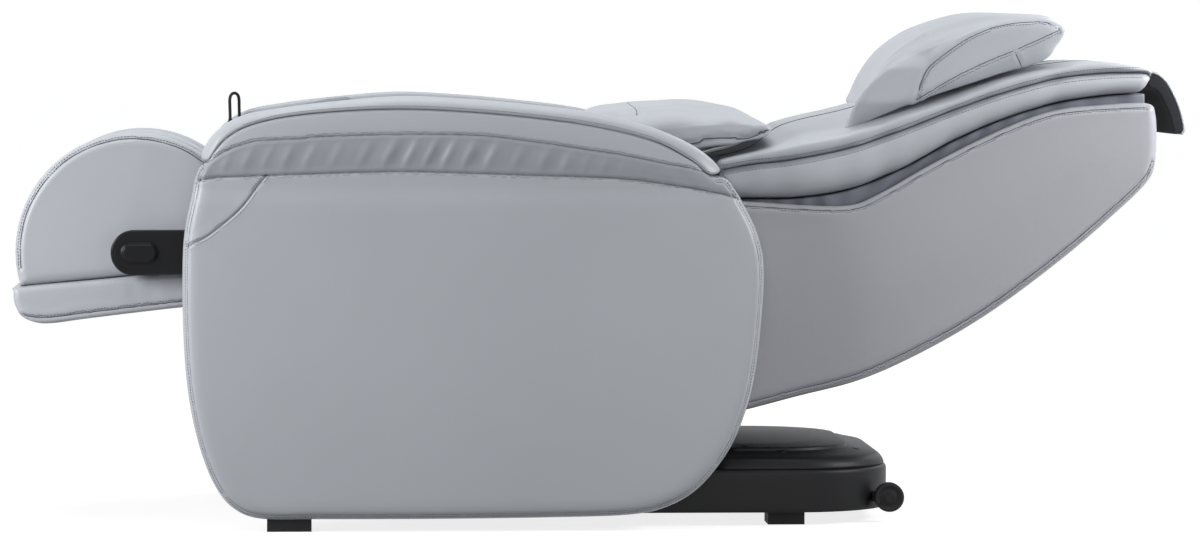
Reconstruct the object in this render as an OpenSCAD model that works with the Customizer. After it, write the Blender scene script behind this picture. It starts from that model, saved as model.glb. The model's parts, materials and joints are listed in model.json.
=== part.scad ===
// Reclining massage chair: padded arms, reclining back with a massage carriage,
// flip-over calf and foot rest, two-tier base with transport wheels.
// +X runs from the feet to the head, +Y to the sitter's right hand, +Z up.

/* [Overall] */
// Width over both arms
chair_w = 750; // [720:5:800]
// Thickness of one arm
arm_t = 93; // [84:1:104]
// Height of the floor gap below arms and base
floor_gap = 19; // [15:1:24]

/* [Arms] */
// Thickness of the plywood board inside each arm
board_t = 15; // [10:1:18]
// How far the outer face of an arm is crowned
arm_crown = 12; // [6:1:16]
// Free space between the arm boards and what moves beside them
arm_clear = 2; // [1.5:0.5:4]

/* [Backrest] */
// Side gap between the backrest shell and the arms
back_gap = 12; // [8:1:20]
// Wall of the backrest shell
shell_wall = 11; // [8:1:14]
// How much narrower the mattress pad is than the shell, each side
pad_step = 2; // [0:0.5:6]
// How far the deck under the mattress pad stands in from the pad's sides
deck_step = 20; // [14:1:40]
// Width of the head pillow
pillow_w = 480; // [400:10:500]
// Width of the lumbar cushion
lumbar_w = 490; // [420:10:520]
// Radius of the backrest hinge pins
hinge_pin_r = 10; // [8:0.5:12]
// Thickness of the hinge lugs
lug_t = 10; // [8:1:12]

/* [Ottoman] */
// Thickness of the bracket arms
bracket_t = 12; // [8:1:14]
// Half height of the bracket arms
bracket_r = 32.5; // [30:0.5:38]
// Radius of the calf walls
calf_r = 181; // [170:1:190]
// Width of each outer calf wall
calf_wall_w = 85; // [70:1:95]
// Width of the middle calf wall
calf_mid_w = 90; // [70:1:110]
// Radius of the ottoman pivot pins
flip_pin_r = 8; // [6:0.5:10]
// Radius of the lift shaft
lift_shaft_r = 10; // [8:0.5:11]

/* [Base] */
// Height of the lower skirt of the base
skirt_h = 66; // [55:1:75]
// Wall of the base mouldings
base_wall = 4; // [3:0.5:6]
// Radius of the transport wheels
wheel_r = 22.5; // [20:0.5:24]
// Width of the transport wheels
wheel_w = 18; // [14:1:22]
// Radius of the wheel axles
wheel_axle_r = 4; // [3:0.5:5]

/* [Frame] */
// Thickness of the steel side plates
plate_t = 6; // [4:1:8]
// Gap between a side plate and the bracket arm outside it
plate_gap = 3; // [2:0.5:4]
// Gap between a side plate and what moves inside it
inner_gap = 3; // [2:0.5:6]
// Width of the chassis rails
rail_w = 25; // [20:1:35]
// Height of the chassis rails
rail_h = 30; // [25:1:40]
// Radial clearance of every shaft in its bore
run_fit = 0.05; // [0.02:0.01:0.09]

/* [Massage carriage] */
// Width of the carriage between its rails
carriage_w = 300; // [260:10:340]
// Radius of the kneading rollers
roller_r = 38; // [30:1:42]
// Radius of the kneading shaft
knead_shaft_r = 8; // [6:0.5:10]
// Distance of each kneading roller from the middle
roller_y = 75; // [60:1:90]

/* [Handset] */
// Length of the handset
handset_l = 155; // [130:1:160]
// Height of the handset
handset_h = 58; // [50:1:64]
// Thickness of the handset
handset_t = 15; // [12:0.5:16]
// Radius of the handset buttons
button_r = 6; // [5:0.5:7]
// How far a button travels
button_travel = 1.2; // [0.8:0.1:1.6]
// Diameter of the handset cord
cord_d = 5; // [4.5:0.5:6]

/* [Hidden] */
$fn = 48;

// Colours
leather = [0.66, 0.68, 0.71];
leather_dark = [0.5, 0.51, 0.55];
black_plastic = [0.17, 0.17, 0.19];
steel = [0.55, 0.56, 0.58];
board_wood = [0.72, 0.58, 0.4];
rubber = [0.1, 0.1, 0.11];
felt = [0.09, 0.09, 0.1];
motor_grey = [0.3, 0.31, 0.33];

// Shift that puts the plan centre of the chair on the origin
plan_shift = -10.83;

// Widths, stacked from the arms inwards
arm_out = chair_w / 2;
arm_in = arm_out - arm_t;
cap_h = 6;
bracket_out = arm_in - arm_clear - cap_h;
bracket_in = bracket_out - bracket_t;
plate_out = bracket_in - plate_gap;
plate_in = plate_out - plate_t;
ottoman_half = plate_in - 2 * inner_gap;
lug_out = plate_in - inner_gap;
shell_half = arm_in - back_gap;
pad_half = shell_half - pad_step;
seat_half = arm_in - 6;
seat_nose_half = ottoman_half + 1;
base_half = arm_in - arm_clear - 1;
chassis_rail_y = plate_in - 63;

// Joint axes, as [x, z] in the side view
recline_at = [120, 330];
lift_at = [-488, 420];
flip_at = [-708, 417];
actuator_at = [-250, 150];
actuator_lug = [180, 220];
ottoman_tilt = 5.4;
rail_at = [290, 362];
rail_angle = 26;

// ---------------------------------------------------------------- outline and loft functions

function catmull(a, b, c, d, t) =
    0.5 * (2 * b + (c - a) * t + (2 * a - 5 * b + 4 * c - d) * t * t
    + (3 * b - a - 3 * c + d) * t * t * t);

// Closed smooth outline through its points, n steps to each stretch
function smooth(p, n = 2) = let (m = len(p))
    [for (i = [0 : m - 1], k = [0 : n - 1])
        catmull(p[(i + m - 1) % m], p[i], p[(i + 1) % m], p[(i + 2) % m], k / n)];

function turn_sum(p) = let (m = len(p))
    [for (i = [0 : m - 1]) p[i][0] * p[(i + 1) % m][1] - p[(i + 1) % m][0] * p[i][1]]
    * [for (i = [0 : m - 1]) 1];

function reversed(p) = [for (i = [len(p) - 1 : -1 : 0]) p[i]];

// The outline in counter-clockwise order
function ccw(p) = turn_sum(p) < 0 ? reversed(p) : p;

// The outline drawn in by d along its own normals
function inset(p, d) = let (m = len(p))
    [for (i = [0 : m - 1])
        let (s = p[(i + 1) % m] - p[(i + m - 1) % m], l = max(norm(s), 0.001))
        p[i] + d * [-s[1], s[0]] / l];

function mix(a, b, t) = a * (1 - t) + b * t;

function move2(p, v) = [for (q = p) q + v];

// Rounded rectangle from x0 to x1 and half width h, with corner radii rf at x0 and rb at x1
function rrect(x0, x1, h, rf, rb, n = 8) = concat(
    [for (i = [0 : n]) [x0 + rf - rf * sin(90 * i / n), h - rf + rf * cos(90 * i / n)]],
    [for (i = [0 : n]) [x0 + rf - rf * cos(90 * i / n), -h + rf - rf * sin(90 * i / n)]],
    [for (i = [0 : n]) [x1 - rb + rb * sin(90 * i / n), -h + rb - rb * cos(90 * i / n)]],
    [for (i = [0 : n]) [x1 - rb + rb * cos(90 * i / n), h - rb + rb * sin(90 * i / n)]]);

// Strip of faces over a long curved end of n points, from its tip at index t to the tip across
function strip_cap(n, t) = [for (i = [0 : n / 2 - 1])
    let (a = (t + i) % n, b = (t + i + 1) % n, c = (t - i - 1 + n) % n, d = (t - i + n) % n)
    i == 0 ? [a, b, c] : i == n / 2 - 1 ? [a, b, d] : [a, b, c, d]];

// Skin over rings of equal length; each ring is counter-clockwise seen from the first cap.
// A long curved end gets a strip cap where tip names the index of one of its tips
module skin_rings(rings, tip = undef) {
    n = len(rings[0]);
    m = len(rings);
    points = [for (r = rings) each r];
    sides = [for (k = [0 : m - 2], i = [0 : n - 1])
        let (a = k * n + i, b = k * n + (i + 1) % n, c = b + n, d = a + n)
        each [[a, b, c], [a, c, d]]];
    cap = is_undef(tip) ? [[for (i = [0 : n - 1]) i]] : strip_cap(n, tip);
    first = [for (f = cap) reversed(f)];
    last = [for (f = cap) [for (i = f) (m - 1) * n + i]];
    polyhedron(points, concat(first, sides, last), convexity = 8);
}

// Side outlines, each [y, outline], skinned across the width of the chair
module loft_y(sections, tip = undef) {
    skin_rings([for (s = sections) [for (q = s[1]) [q[0], s[0], q[1]]]], tip);
}

// One side outline skinned across stations, each [y, inset]
module loft_side(outline, stations, tip = undef) {
    o = ccw(outline);
    loft_y([for (s = stations) [s[0], inset(o, s[1])]], tip);
}

// Side outline cut square from y0 to y1
module side_plate_form(outline, y0, y1) {
    translate([0, y1, 0])
        rotate([90, 0, 0])
            linear_extrude(height = y1 - y0)
                polygon(outline);
}

// Round bar across the chair at a side-view point, from y0 to y1
module cross_bar(at, r, y0, y1, fn = 48) {
    translate([at[0], y1, at[1]])
        rotate([90, 0, 0])
            cylinder(h = y1 - y0, r = r, $fn = fn);
}

// Box from a low to a high corner
module box(low, high) {
    translate(low)
        cube(high - low);
}

// Tube swept along a route
module cord_tube(route, d, sides = 8) {
    m = len(route);
    ref = [0.25, 0.96, 0.1];
    rings = [for (i = [0 : m - 1])
        let (s = route[min(i + 1, m - 1)] - route[max(i - 1, 0)],
            t = s / norm(s),
            u = cross(t, ref) / norm(cross(t, ref)),
            v = cross(t, u))
        [for (k = [0 : sides - 1])
            route[i] + d / 2 * (u * cos(360 * k / sides) + v * sin(360 * k / sides))]];
    skin_rings([for (r = rings) reversed(r)]);
}

// Puts a part drawn in side-view datum places into the chair's own frame
module placed() {
    translate([plan_shift, 0, 0])
        children();
}

// The same part on the right arm (side 1) or mirrored to the left (side -1)
module on_side(side) {
    mirror([0, side < 0 ? 1 : 0, 0])
        children();
}

// ---------------------------------------------------------------- outlines in the side view

arm_crest = [[-604, 566], [-584, 600], [-544, 625], [-484, 637], [-404, 647], [-304, 655],
    [-204, 651], [-94, 641], [-4, 629], [76, 608], [141, 578], [176, 546]];
arm_seam = [[-592, 560], [-571, 588], [-539, 609], [-484, 624], [-404, 633], [-304, 637],
    [-204, 633], [-94, 623], [-4, 610], [76, 589], [130, 561], [158, 538]];
arm_back = [[186, 530], [208, 498], [231, 452], [242, 400], [239, 320], [228, 230], [210, 165],
    [186, 115], [146, 66], [101, 38], [46, 25], [-64, floor_gap + 2]];
arm_foot = [[-254, floor_gap], [-424, floor_gap], [-514, floor_gap + 1]];
arm_front = [[-556, 36], [-584, 70], [-606, 125], [-621, 190], [-629, 260], [-632, 350],
    [-630, 440], [-619, 500], [-608, 544]];
pad_joint = 1.2;

function arm_panel_outline() = smooth(
    concat(move2(arm_seam, [0, -pad_joint]), arm_back, arm_foot, arm_front));
function armrest_outline() = smooth(concat(arm_crest, reversed(arm_seam)));

shell_top = [[150, 440], [150, 482], [161, 494], [221, 494], [300, 489], [381, 488], [430, 507],
    [504, 549], [580, 588], [648, 618], [700, 634], [763, 641], [836, 644]];
shell_under = [[851, 625], [851, 560], [838, 524], [778, 466], [700, 400], [600, 326], [504, 269],
    [403, 223], [300, 196], [210, 173], [163, 167], [150, 178], [150, 220]];

function shell_outline() = smooth(concat(shell_top, shell_under));

// Mattress pad lines, each from its seat end to its head end
pad_low = [[200, 499], [245, 499], [300, 500], [380, 512], [460, 543], [540, 586], [620, 621], [700, 645],
    [770, 656], [836, 661]];
pad_seam = [[176, 540], [235, 550], [290, 556], [380, 574], [460, 601], [540, 632], [620, 660], [700, 681],
    [770, 689], [842, 692]];
pad_rim = [[172, 555], [232, 569], [290, 581], [380, 599], [460, 624], [540, 651], [620, 680], [700, 699],
    [770, 708], [850, 695]];
pad_crown = [[174, 556], [240, 574], [290, 611], [380, 634], [460, 655], [540, 675], [620, 693], [700, 704],
    [770, 709], [850, 696]];

// Cross-section of the pad: t_low draws the underside up to the seam, t_top draws the top down
// to it and t_crown raises the top from the rim to the crown
function pad_section(t_low, t_top, t_crown) = smooth(concat(
    [for (i = [0 : len(pad_low) - 1]) mix(pad_low[i], pad_seam[i], t_low)],
    reversed([for (i = [0 : len(pad_low) - 1])
        mix(mix(pad_rim[i], pad_crown[i], t_crown), pad_seam[i], t_top)])));

pillow_mid = [[408, 656], [418, 674], [440, 695], [466, 716], [498, 740], [536, 762], [572, 778],
    [620, 784], [668, 783], [704, 776], [720, 758], [708, 732], [676, 709], [570, 691],
    [490, 670], [426, 652]];
pillow_end = [[388, 608], [393, 642], [407, 666], [432, 689], [470, 713], [524, 737], [574, 755],
    [624, 768], [662, 773], [691, 771], [712, 757], [701, 733], [683, 709], [610, 685],
    [510, 653], [438, 627]];
lumbar_mid = [[-25, 580], [-18, 612], [0, 632], [51, 640], [96, 645], [143, 647], [191, 640],
    [223, 633], [245, 619], [258, 605], [250, 597], [225, 587], [172, 570], [100, 556], [40, 545],
    [-10, 545]];
lumbar_end = [[-14, 575], [-4, 586], [10, 592], [51, 596], [96, 600], [143, 602], [180, 602],
    [210, 602], [234, 601], [246, 595], [240, 587], [222, 583], [172, 576], [100, 567], [40, 560],
    [0, 564]];
flap_line = [[851, 690], [868, 692], [887, 677], [901, 652], [910, 628], [915, 603], [911, 594],
    [898, 595], [892, 620], [883, 642], [872, 661], [858, 668]];

// ---------------------------------------------------------------- frame and seat

module chassis_frame() {
    rail_z = floor_gap + 7;
    rail_y = chassis_rail_y;
    ends = [-320, 400];
    color(steel) placed() difference() {
        union() {
            for (s = [-1, 1])
                box([ends[0], s > 0 ? rail_y : -rail_y - rail_w, rail_z],
                    [ends[1], s > 0 ? rail_y + rail_w : -rail_y, rail_z + rail_h]);
            for (x = [ends[0], 60])
                box([x, -plate_in, rail_z], [x + rail_h, plate_in, rail_z + rail_h]);
            for (x = [actuator_at[0] - 15, ends[1] - rail_h])
                box([x, -rail_y, rail_z], [x + rail_h, rail_y, rail_z + rail_h]);
            for (s = [-1, 1])
                box([actuator_at[0] - 15, s * 32 - 4, rail_z + rail_h],
                    [actuator_at[0] + 15, s * 32 + 4, actuator_at[1] + 15]);
        }
        cross_bar(actuator_at, 8 + run_fit, -40, 40);
    }
}

bolt_places = [[-350, 310], [-300, 110], [-20, 120], [-60, 380]];

module side_plate(side) {
    outline = [[-318, floor_gap + 7], [90, floor_gap + 7], [110, 200], [144, 322], [137, 347],
        [120, 354], [60, 360], [-10, 430], [-455, 430], [-462, 434], [-470, 441], [-488, 446],
        [-506, 439], [-514, 420], [-500, 398], [-400, 330], [-318, 200]];
    color(steel) placed() on_side(side) difference() {
        side_plate_form(outline, plate_in, plate_out);
        cross_bar(recline_at, hinge_pin_r, plate_in - 1, plate_out + 1);
        cross_bar(lift_at, lift_shaft_r + run_fit, plate_in - 1, plate_out + 1);
        for (p = bolt_places)
            cross_bar(p, 5, plate_in - 1, plate_out + 1);
    }
}

module seat_pan() {
    color(board_wood) placed()
        box([-455, -plate_in, 412], [-30, plate_in, 430]);
}

// Cushion outline with its front edge at x0
function seat_outline(x0, top, low) = smooth([[x0, 452], [x0 + 8, 470], [x0 + 40, top + 2],
    [-330, top + 2], [-220, top], [-110, top - 3], [-40, top - 5], [-22, 462], [-22, 445],
    [-34, low], [-110, low], [-220, low], [-330, low], [x0 + 34, low], [x0 + 8, low + 3]], 3);

module seat_cushion() {
    low = 432;
    nose = -473;
    step = -443;
    section = [
        for (s = [[seat_half, 0.75, 8], [seat_half - 4, 0.3, 3], [seat_half - 14, 0, 0],
            [seat_nose_half + 8, 0, 0]]) [s[0], inset(ccw(seat_outline(step, 480, low)), s[2])],
        for (s = [[seat_nose_half - 4, 3], [seat_nose_half - 16, 0], [120, 0], [0, 0]])
            [s[0], inset(ccw(seat_outline(nose, s[0] < 200 ? 482 : 480, low)), s[1])]];
    color(leather) placed()
        loft_y(concat([for (s = section) [-s[0], s[1]]],
            [for (i = [len(section) - 2 : -1 : 0]) section[i]]));
}

// ---------------------------------------------------------------- arms

module arm_board(side) {
    outline = inset(ccw(arm_panel_outline()), 8);
    color(board_wood) placed() on_side(side) difference() {
        side_plate_form(outline, arm_in, arm_in + board_t);
        cross_bar(lift_at, lift_shaft_r + 2, arm_in - 1, arm_in + board_t + 1);
        for (p = bolt_places)
            cross_bar(p, 5, arm_in - 1, arm_in + board_t + 1);
    }
}

gearbox_l = 38;
gearbox_space = 4;

module arm_panel(side) {
    y0 = arm_in + board_t;
    stations = [[y0, 0], [arm_out - arm_crown, 0], [arm_out - arm_crown * 0.5, 3],
        [arm_out - arm_crown * 0.15, 9], [arm_out, 20]];
    color(leather) placed() on_side(side) difference() {
        loft_side(arm_panel_outline(), stations);
        box([lift_at[0] - 40, y0 - 1, lift_at[1] - 40],
            [lift_at[0] + 130, y0 + gearbox_l + gearbox_space, lift_at[1] + 40]);
        for (p = bolt_places)
            cross_bar(p, 10, y0 - 1, y0 + 9);
    }
}

module armrest_pad(side) {
    stations = [[arm_in + 1, 4], [arm_in + 3, 2], [arm_in + 9, 0], [arm_out - 14, 0],
        [arm_out - 7, 1.5], [arm_out - 2, 4]];
    color(leather) placed() on_side(side)
        loft_side(armrest_outline(), stations, tip = 0);
}

module arm_bolts() {
    head_h = 6;
    color(steel) placed()
        for (side = [-1, 1], p = bolt_places)
            on_side(side) {
                cross_bar(p, 5, plate_in - 8, arm_in + board_t);
                cross_bar(p, 9, plate_out, arm_in);
                cross_bar(p, 9, plate_in - head_h, plate_in, 6);
                cross_bar(p, 9, arm_in + board_t, arm_in + board_t + head_h);
            }
}

module front_feet() {
    color(rubber) placed()
        for (side = [-1, 1])
            on_side(side)
                box([-506, arm_in + 20, 0], [-439, arm_out - 25, floor_gap - 0.6]);
}

module rear_feet() {
    color(rubber) placed()
        for (side = [-1, 1])
            on_side(side)
                box([258, chassis_rail_y + 2, 0], [314, chassis_rail_y + 68, floor_gap + 7]);
}

// ---------------------------------------------------------------- base

base_front = -325;
base_rear = 452;
base_corner = 150;
cover_front = 165;
skirt_low = floor_gap + 1;
skirt_top = skirt_low + skirt_h;
wheel_at = [447, 39];
wheel_y = chassis_rail_y + 38;
inlet_half = 30;

module base_skirt() {
    color(black_plastic) placed() difference() {
        translate([0, 0, skirt_low])
            linear_extrude(height = skirt_h)
                polygon(rrect(base_front, base_rear, base_half, 30, base_corner));
        translate([0, 0, skirt_low - 1])
            linear_extrude(height = skirt_h + 2)
                polygon(rrect(base_front + base_wall, base_rear - base_wall,
                    base_half - base_wall, 26, base_corner - base_wall));
        // wheel notches and the inlet opening
        for (s = [-1, 1])
            box([400, s * wheel_y - wheel_w / 2 - 9, skirt_low - 1],
                [base_rear + 1, s * wheel_y + wheel_w / 2 + 9, wheel_at[1] + wheel_r + 4]);
        box([base_rear - 20, -inlet_half, 34], [base_rear + 1, inlet_half, 70]);
    }
}

cover_rings = [[0, 3], [8, 6], [16, 14], [20, 34], [25, 57], [28.5, 60], [30.5, 72], [32, 100],
    [33, 150]];

function cover_ring(z, d, wall) = [for (q = rrect(cover_front + d * 0.3 + wall,
    base_rear - d - wall, base_half - d * 0.85 - wall, 30, max(30, base_corner - d * 0.4)))
    [q[0], q[1], z]];

module base_cover() {
    outer = [for (r = cover_rings) cover_ring(skirt_top + r[0], r[1], 0)];
    inner = [for (r = cover_rings) cover_ring(skirt_top + max(0, r[0] - base_wall), r[1], base_wall)];
    color(black_plastic) placed() difference() {
        skin_rings(concat(reversed(inner), outer));
        for (side = [-1, 1], p = [[226, 71], [280, 47], [404, 129]])
            translate([p[0], side * (base_half - p[1]), skirt_top + 12])
                cylinder(h = 40, r = 6);
    }
}

module power_unit() {
    color(motor_grey) placed() {
        box([200, -110, floor_gap + 37], [350, 110, 104]);
        box([350, -20, floor_gap + 45], [386, 20, 80]);
    }
}

rocker_y = 17;

module mains_inlet() {
    face = base_rear - 1;
    color(black_plastic) placed() difference() {
        box([face - 22, -inlet_half + 0.5, 34.5], [face, inlet_half - 0.5, 69.5]);
        box([face - 16, -24, 41], [face + 1, 2, 63]);
        box([face - 13, rocker_y - 8, 40], [face + 1, rocker_y + 8, 64]);
    }
}

rocker_at = [base_rear - 4, 52];

module mains_rocker() {
    outline = [[-5, -9.5], [3.2, -10.5], [1, 0], [4.6, 10.5], [-5, 9.5]];
    color(rubber) placed()
        side_plate_form(move2(outline, rocker_at), rocker_y - 7, rocker_y + 7);
}

module wheel_brackets() {
    cheek_out = -wheel_w / 2 - 1.5;
    cheek_in = cheek_out - 5;
    color(steel) placed()
        for (side = [-1, 1])
            on_side(side)
                translate([0, wheel_y, wheel_at[1]]) {
                    // inner cheek, its foot on the chassis and the stub axle with its head
                    box([400, cheek_in, -8], [wheel_at[0] + 8, cheek_out, 8]);
                    box([400, chassis_rail_y - wheel_y, -12], [408, cheek_out, 12]);
                    cross_bar([wheel_at[0], 0], wheel_axle_r, cheek_in - 2, wheel_w / 2 + 3);
                    cross_bar([wheel_at[0], 0], wheel_axle_r + 3, wheel_w / 2 + 0.5, wheel_w / 2 + 3);
                }
}

module wheel(side) {
    color(rubber) placed() on_side(side) difference() {
        cross_bar(wheel_at, wheel_r, wheel_y - wheel_w / 2, wheel_y + wheel_w / 2, 64);
        cross_bar(wheel_at, wheel_axle_r + run_fit, wheel_y - wheel_w, wheel_y + wheel_w);
        for (s = [-1, 1])
            translate([wheel_at[0], wheel_y + s * wheel_w / 2, wheel_at[1]])
                rotate([90, 0, 0])
                    rotate_extrude()
                        translate([wheel_r * 0.55, 0])
                            square([wheel_r * 0.24, 4], center = true);
    }
}

// ---------------------------------------------------------------- backrest

module back_hinge_pins() {
    color(steel) placed()
        for (side = [-1, 1])
            on_side(side) {
                cross_bar(recline_at, hinge_pin_r, lug_out - lug_t - 4, plate_out);
                cross_bar(recline_at, hinge_pin_r + 4, plate_out, plate_out + 4, 6);
            }
}

frame_rail_w = 20;
frame_rail_y = lug_out - lug_t - frame_rail_w - 1;
frame_rail_l = 530;
frame_rail_at = [245, 300];
// Height of the massage rails above the frame rails
rail_drop = (rail_at[1] - frame_rail_at[1]) * cos(rail_angle)
    - (rail_at[0] - frame_rail_at[0]) * sin(rail_angle);

// Places children with x along the frame rails
module along_frame(u) {
    translate([frame_rail_at[0], 0, frame_rail_at[1]])
        rotate([0, -rail_angle, 0])
            translate([u, 0, 0])
                children();
}

module back_frame() {
    lug = [[112, 308], [104, 320], [102, 334], [110, 348], [124, 352], [262, 352], [262, 300],
        [150, 300], [128, 306]];
    color(steel) placed() difference() {
        union() {
            for (side = [-1, 1])
                on_side(side) {
                    side_plate_form(lug, lug_out - lug_t, lug_out);
                    along_frame(0)
                        box([0, frame_rail_y, 0], [frame_rail_l, frame_rail_y + frame_rail_w, 30]);
                    box([236, frame_rail_y, 304], [262, lug_out - lug_t + 1, 330]);
                }
            box([236, -frame_rail_y - 1, 304], [262, frame_rail_y + 1, 330]);
            for (u = [50, 470])
                along_frame(u)
                    box([0, -frame_rail_y - 1, 6], [24, frame_rail_y + 1, rail_drop - 14.2]);
            // clevis for the recline rod
            for (s = [-1, 1])
                side_plate_form([[168, 208], [192, 208], [262, 304], [262, 330], [236, 330]],
                    s * 24 - 3, s * 24 + 3);
        }
        cross_bar(recline_at, hinge_pin_r + run_fit, lug_out - lug_t - 1, lug_out + 1);
        cross_bar(recline_at, hinge_pin_r + run_fit, -lug_out - 1, -lug_out + lug_t + 1);
    }
    color(steel) placed()
        cross_bar(actuator_lug, 7, -30, 30);
}

// Deck between the top of the shell and the underside of the pad
function deck_outline() = let (under = pad_section(0, 0, 1), sunk = 5) concat(
    [for (i = [0 : 2 * len(pad_low) - 2]) under[i] - [0, pad_joint]],
    reversed([for (q = shell_top) if (q[0] > 200) q - [0, sunk]]));

module back_shell() {
    outline = ccw(shell_outline());
    stations = [[-shell_half, 9], [-shell_half + 4, 2.5], [-shell_half + 12, 0],
        [shell_half - 12, 0], [shell_half - 4, 2.5], [shell_half, 9]];
    deck_half = pad_half - deck_step;
    color(leather_dark) placed() difference() {
        union() {
            difference() {
                loft_side(outline, stations);
                side_plate_form(inset(outline, shell_wall), -shell_half + 14, shell_half - 14);
                // open end towards the seat
                box([130, -shell_half + 14, 185], [175, shell_half - 14, 478]);
            }
            side_plate_form(deck_outline(), -deck_half, deck_half);
        }
        // opening for the kneading rollers
        along_rails(0)
            box([10, -120, 40], [400, 120, 200]);
    }
}

module back_pad() {
    h = pad_half;
    half = [[h, pad_section(0.85, 0.8, 0)], [h - 6, pad_section(0.4, 0.35, 0)],
        [h - 16, pad_section(0.05, 0.08, 0)], [h - 30, pad_section(0, 0, 0.05)],
        [h - 80, pad_section(0, 0, 0.55)], [h - 150, pad_section(0, 0, 0.85)],
        [0, pad_section(0, 0, 1)]];
    color(leather) placed()
        loft_y(concat([for (s = half) [-s[0], ccw(s[1])]],
            [for (i = [len(half) - 2 : -1 : 0]) [half[i][0], ccw(half[i][1])]]),
            tip = 2 * len(pad_low) * 2 - 1);
}

module back_flap() {
    color(felt) placed()
        loft_side(smooth(flap_line), [[-150, 3], [-146, 1], [-138, 0], [138, 0], [146, 1], [150, 3]],
            tip = 0);
}

// Cushion whose side view changes from a middle to an end outline
module two_form_cushion(middle, end, half, n = 3) {
    stations = [[1, 1, 3], [0.985, 0.86, 1], [0.94, 0.6, 0], [0.85, 0.35, 0], [0.66, 0.14, 0],
        [0.35, 0.03, 0], [0, 0, 0]];
    forms = [for (s = stations)
        [half * s[0], inset(ccw(smooth([for (i = [0 : len(middle) - 1])
            mix(middle[i], end[i], s[1])], n)), s[2])]];
    loft_y(concat([for (s = forms) [-s[0], s[1]]],
        [for (i = [len(forms) - 2 : -1 : 0]) forms[i]]));
}

module head_pillow() {
    color(leather) placed()
        two_form_cushion(pillow_mid, pillow_end, pillow_w / 2);
}

module lumbar_cushion() {
    color(leather) placed()
        two_form_cushion(lumbar_mid, lumbar_end, lumbar_w / 2);
}

// ---------------------------------------------------------------- massage carriage

carriage_u = 70;
carriage_l = 120;

// Places children in the carriage's own frame: x along the rails, z out of the back
module along_rails(u) {
    translate([rail_at[0], 0, rail_at[1]])
        rotate([0, -rail_angle, 0])
            translate([u, 0, 0])
                children();
}

module massage_rails() {
    color(steel) placed() along_rails(0)
        for (s = [-1, 1])
            difference() {
                box([0, s * (carriage_w / 2 + 10) - 9, -14], [430, s * (carriage_w / 2 + 10) + 9, 14]);
                box([-1, s * (carriage_w / 2 - 1) - 13, -9], [431, s * (carriage_w / 2 - 1) + 13, 9]);
            }
}

module massage_carriage() {
    half = carriage_w / 2 - 2;
    color(motor_grey) placed() along_rails(carriage_u) difference() {
        union() {
            for (s = [-1, 1])
                box([-carriage_l / 2, s * (half - 4) - 4, -34], [carriage_l / 2, s * (half - 4) + 4, 30]);
            box([-carriage_l / 2, -half, -34], [-carriage_l / 2 + 6, half, 4]);
            box([carriage_l / 2 - 6, -half, -34], [carriage_l / 2, half, 4]);
            for (s = [-1, 1], x = [-40, 40])
                translate([x, s * (half + 5), 0])
                    rotate([90, 0, 0])
                        cylinder(h = 14, r = 7.5, center = true);
        }
        translate([0, half + 1, 16])
            rotate([90, 0, 0])
                cylinder(h = 2 * half + 2, r = knead_shaft_r + run_fit);
    }
}

module carriage_motor() {
    color(motor_grey) placed() along_rails(carriage_u)
        translate([0, 45, -52])
            rotate([90, 0, 0])
                cylinder(h = 90, r = 24);
    color(motor_grey) placed() along_rails(carriage_u)
        box([-carriage_l / 2, -20, -50], [carriage_l / 2, 20, -34]);
}

knead_at = [0, 16];

module kneading_shaft() {
    color(steel) placed() along_rails(carriage_u)
        cross_bar(knead_at, knead_shaft_r, -carriage_w / 2 + 2, carriage_w / 2 - 2);
}

module kneading_rollers() {
    offset_r = 6;
    color(rubber) placed() along_rails(carriage_u)
        for (s = [-1, 1])
            difference() {
                translate([0, s * roller_y, 0])
                    cross_bar(knead_at + [s * offset_r, 0], roller_r, -9, 9);
                cross_bar(knead_at, knead_shaft_r, -carriage_w / 2, carriage_w / 2);
            }
}

// ---------------------------------------------------------------- recline actuator

actuator_v = actuator_lug - actuator_at;
actuator_angle = atan2(actuator_v[1], actuator_v[0]);
actuator_len = norm(actuator_v);
rod_r = 9;
tube_r = 17;
tube_end = 300;

// Places children with x along the actuator from its base pivot
module along_actuator() {
    translate([actuator_at[0], 0, actuator_at[1]])
        rotate([0, -actuator_angle, 0])
            children();
}

module recline_tube() {
    color(motor_grey) placed() along_actuator() {
        difference() {
            rotate([0, 90, 0])
                cylinder(h = tube_end, r = tube_r);
            translate([14, 0, 0])
                rotate([0, 90, 0])
                    cylinder(h = tube_end, r = rod_r + run_fit);
        }
        cross_bar([0, 0], 8, -38, 38);
    }
}

module recline_motor() {
    color(motor_grey) placed() along_actuator() {
        translate([30, 0, -tube_r - 24])
            rotate([0, 90, 0])
                cylinder(h = 110, r = 24);
        box([14, -16, -tube_r - 40], [30, 16, -tube_r]);
    }
}

module recline_rod() {
    eye_r = 19;
    color(steel) placed() along_actuator() {
        translate([190, 0, 0])
            rotate([0, 90, 0])
                cylinder(h = actuator_len - 190 - eye_r - 3, r = rod_r);
        difference() {
            cross_bar([actuator_len, 0], eye_r + 6, -9, 9);
            cross_bar([actuator_len, 0], eye_r, -10, 10);
        }
    }
}

// ---------------------------------------------------------------- ottoman

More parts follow.
